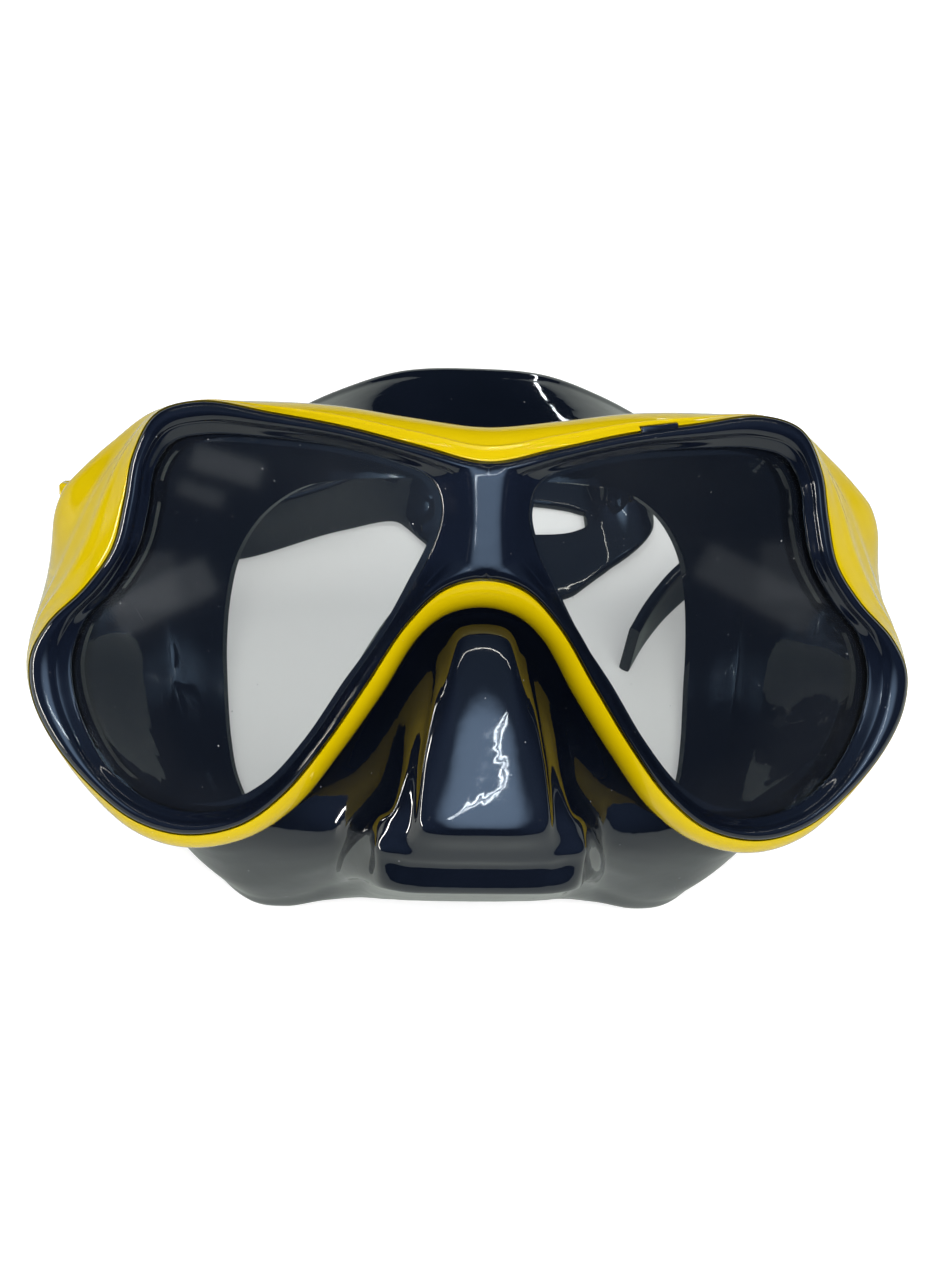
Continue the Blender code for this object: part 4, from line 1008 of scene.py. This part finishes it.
world = bpy.data.worlds.new("studio")
bpy.context.scene.world = world
world.use_nodes = True
nt = world.node_tree
nt.nodes.clear()
wout = nt.nodes.new('ShaderNodeOutputWorld')
way = nt.nodes.new('ShaderNodeTexCoord').outputs['Generated']


def glow(direction, wide, tight):
    """1 within `tight` degrees of a direction, fading to 0 at `wide` degrees."""
    v = nt.nodes.new('ShaderNodeVectorMath')
    v.operation = 'DOT_PRODUCT'
    nt.links.new(way, v.inputs[0])
    v.inputs[1].default_value = Vector(direction).normalized()
    r = nt.nodes.new('ShaderNodeMapRange')
    r.interpolation_type = 'SMOOTHSTEP'
    r.inputs['From Min'].default_value = math.cos(math.radians(wide))
    r.inputs['From Max'].default_value = math.cos(math.radians(tight))
    nt.links.new(v.outputs['Value'], r.inputs['Value'])
    return r.outputs['Result']


def background(colour, strength, fac=None):
    b = nt.nodes.new('ShaderNodeBackground')
    b.inputs['Color'].default_value = (*colour, 1)
    b.inputs['Strength'].default_value = strength
    if fac is not None:
        nt.links.new(add(nt, fac, strength, 'MULTIPLY'), b.inputs['Strength'])
    return b.outputs[0]


def plus(a, b):
    n = nt.nodes.new('ShaderNodeAddShader')
    nt.links.new(a, n.inputs[0])
    nt.links.new(b, n.inputs[1])
    return n.outputs[0]


# mirror-like surfaces see a dim blue room with a soft bright patch overhead
room = background((0.40, 0.62, 1.0), 0.034)
core = glow((0.05, -0.38, 0.90), 34, 0)
room = plus(room, background((0.48, 0.69, 1.0), 3.0, add(nt, core, core, 'MULTIPLY')))
room = plus(room, background((0.50, 0.72, 1.0), 0.17, glow((0.05, 0.12, 1.0), 60, 12)))
room = plus(room, background((0.34, 0.52, 1.0), 0.15, glow((0.75, -0.35, 0.55), 48, 6)))
room = plus(room, background((0.34, 0.52, 1.0), 0.20, glow((-0.75, -0.35, 0.55), 48, 6)))
path = nt.nodes.new('ShaderNodeLightPath')
mixg = nt.nodes.new('ShaderNodeMixShader')
nt.links.new(path.outputs['Is Glossy Ray'], mixg.inputs[0])
nt.links.new(background((0.92, 0.95, 1.0), 0.50), mixg.inputs[1])
nt.links.new(room, mixg.inputs[2])
mixc = nt.nodes.new('ShaderNodeMixShader')
nt.links.new(path.outputs['Is Camera Ray'], mixc.inputs[0])
nt.links.new(mixg.outputs[0], mixc.inputs[1])
nt.links.new(background((0.97, 0.98, 1.0), 1.0), mixc.inputs[2])
nt.links.new(mixc.outputs[0], wout.inputs['Surface'])


def area(name, loc, target, sx, sy, power, colour=(1, 1, 1), along=None, glossy=True, diffuse=True):
    light = bpy.data.lights.new(name, 'AREA')
    light.shape = 'RECTANGLE'
    light.size, light.size_y = sx, sy
    light.energy = power
    light.color = colour
    ob = bpy.data.objects.new(name, light)
    bpy.context.scene.collection.objects.link(ob)
    z = (Vector(loc) - Vector(target)).normalized()
    if along is None:
        turn = (-z).to_track_quat('-Z', 'Y').to_matrix()
    else:
        y = Vector(along) - z * Vector(along).dot(z)
        y.normalize()
        x = y.cross(z)
        turn = Matrix((x, y, z)).transposed()
    ob.matrix_world = Matrix.Translation(Vector(loc)) @ turn.to_4x4()
    ob.visible_glossy = glossy
    ob.visible_diffuse = diffuse
    return ob


area("soft_top", (0.0, -0.45, 1.35), (0, 0, 0.03), 2.2, 1.6, 32.0, (1.0, 0.99, 0.97), glossy=False)
area("soft_front", (0.0, -1.05, 0.95), (0, 0, 0.04), 1.2, 0.7, 6.0, (1.0, 0.99, 0.97), glossy=False)
# two ceiling tubes, seen as thin bright lines in the glossy surfaces
for k in (-1, 1):
    c = Vector((0.16 + 0.014 * k, -0.52 - 0.014 * k, 1.5))
    area("ceiling_tube_%d" % (k + 2), c, (0, 0, 0.05), 0.004, 1.2, 1.3, (0.88, 0.95, 1.0), (0.74, 0.67, 0), diffuse=False)
area("tube_over", (0.0, 0.68, 1.34), (0, 0, 0.08), 0.008, 2.6, 2.2, (1.0, 0.98, 0.90), (1, 0, 0), diffuse=False)
area("tube_left", (-1.25, -0.16, 0.24), (-0.07, 0, 0.05), 0.045, 1.2, 9.0, (1.0, 0.98, 0.92), (0, 1, 0.1), diffuse=False)
area("spot_back", (0.34, 1.4, 0.12), (0.0, 0.02, 0.09), 0.02, 0.2, 0.25, (0.9, 0.95, 1.0), (0.3, 0, 1.0), diffuse=False)
# panes of a far window, seen dimly in the flat glass
area("pane_high", (-0.650, -0.547, 0.960), (-0.045, -0.02, 0.06), 0.022, 0.062, 0.0030, (0.92, 0.97, 1.0), (0.049, -0.026, 0.012), diffuse=False)
area("pane_edge", (-0.668, -0.560, 0.935), (-0.045, -0.02, 0.06), 0.014, 0.040, 0.0009, (0.92, 0.97, 1.0), (0.030, -0.040, 0.030), diffuse=False)
area("pane_low", (-0.698, -0.628, 0.874), (-0.045, -0.02, 0.06), 0.034, 0.092, 0.0062, (0.92, 0.97, 1.0), (-0.080, -0.012, -0.064), diffuse=False)
area("pane_wide", (-0.712, -0.612, 0.872), (-0.045, -0.02, 0.06), 0.050, 0.060, 0.0036, (0.92, 0.97, 1.0), (-0.060, 0.012, -0.030), diffuse=False)
area("pane_right", (0.815, -0.562, 0.812), (0.045, -0.02, 0.06), 0.034, 0.11, 0.0046, (0.92, 0.97, 1.0), (0.09, -0.01, -0.08), diffuse=False)
area("pane_far", (0.835, -0.535, 0.800), (0.045, -0.02, 0.06), 0.050, 0.060, 0.0024, (0.92, 0.97, 1.0), (0.05, 0.02, -0.03), diffuse=False)

# ------------------------------------------------------------- camera
YAW, PITCH, ROLL = map(math.radians, (-3.977, -2.862, -1.2307))
cam = bpy.data.cameras.new("camera")
cam.sensor_fit = 'AUTO'
cam.sensor_width = 36.0
cam.lens = 1700.0 / 1280.0 * 36.0
cam.clip_start = 0.01
cam.clip_end = 20.0
turn = Matrix.Rotation(YAW, 4, 'Z') @ Matrix.Rotation(PITCH, 4, 'X') @ Matrix.Rotation(ROLL, 4, 'Y')
right, ahead, up = turn.col[0].xyz, turn.col[1].xyz, turn.col[2].xyz
own = Matrix((( right.x, up.x, -ahead.x, -22.94 * MM),
              ( right.y, up.y, -ahead.y, -293.25 * MM),
              ( right.z, up.z, -ahead.z, 22.30 * MM),
              (0, 0, 0, 1)))
lay = Matrix.Translation((0, REST_Y * MM, REST_Z * MM)) @ Matrix.Rotation(math.radians(-LEAN), 4, 'X')
cam_ob = bpy.data.objects.new("camera", cam)
bpy.context.scene.collection.objects.link(cam_ob)
cam_ob.matrix_world = lay @ own
bpy.context.scene.camera = cam_ob

bpy.context.scene.view_settings.view_transform = 'Standard'
bpy.context.scene.view_settings.look = 'None'

# ------------------------------------------------------------- clean up
bpy.data.collections.remove(TOOLS)
bpy.context.view_layer.update()
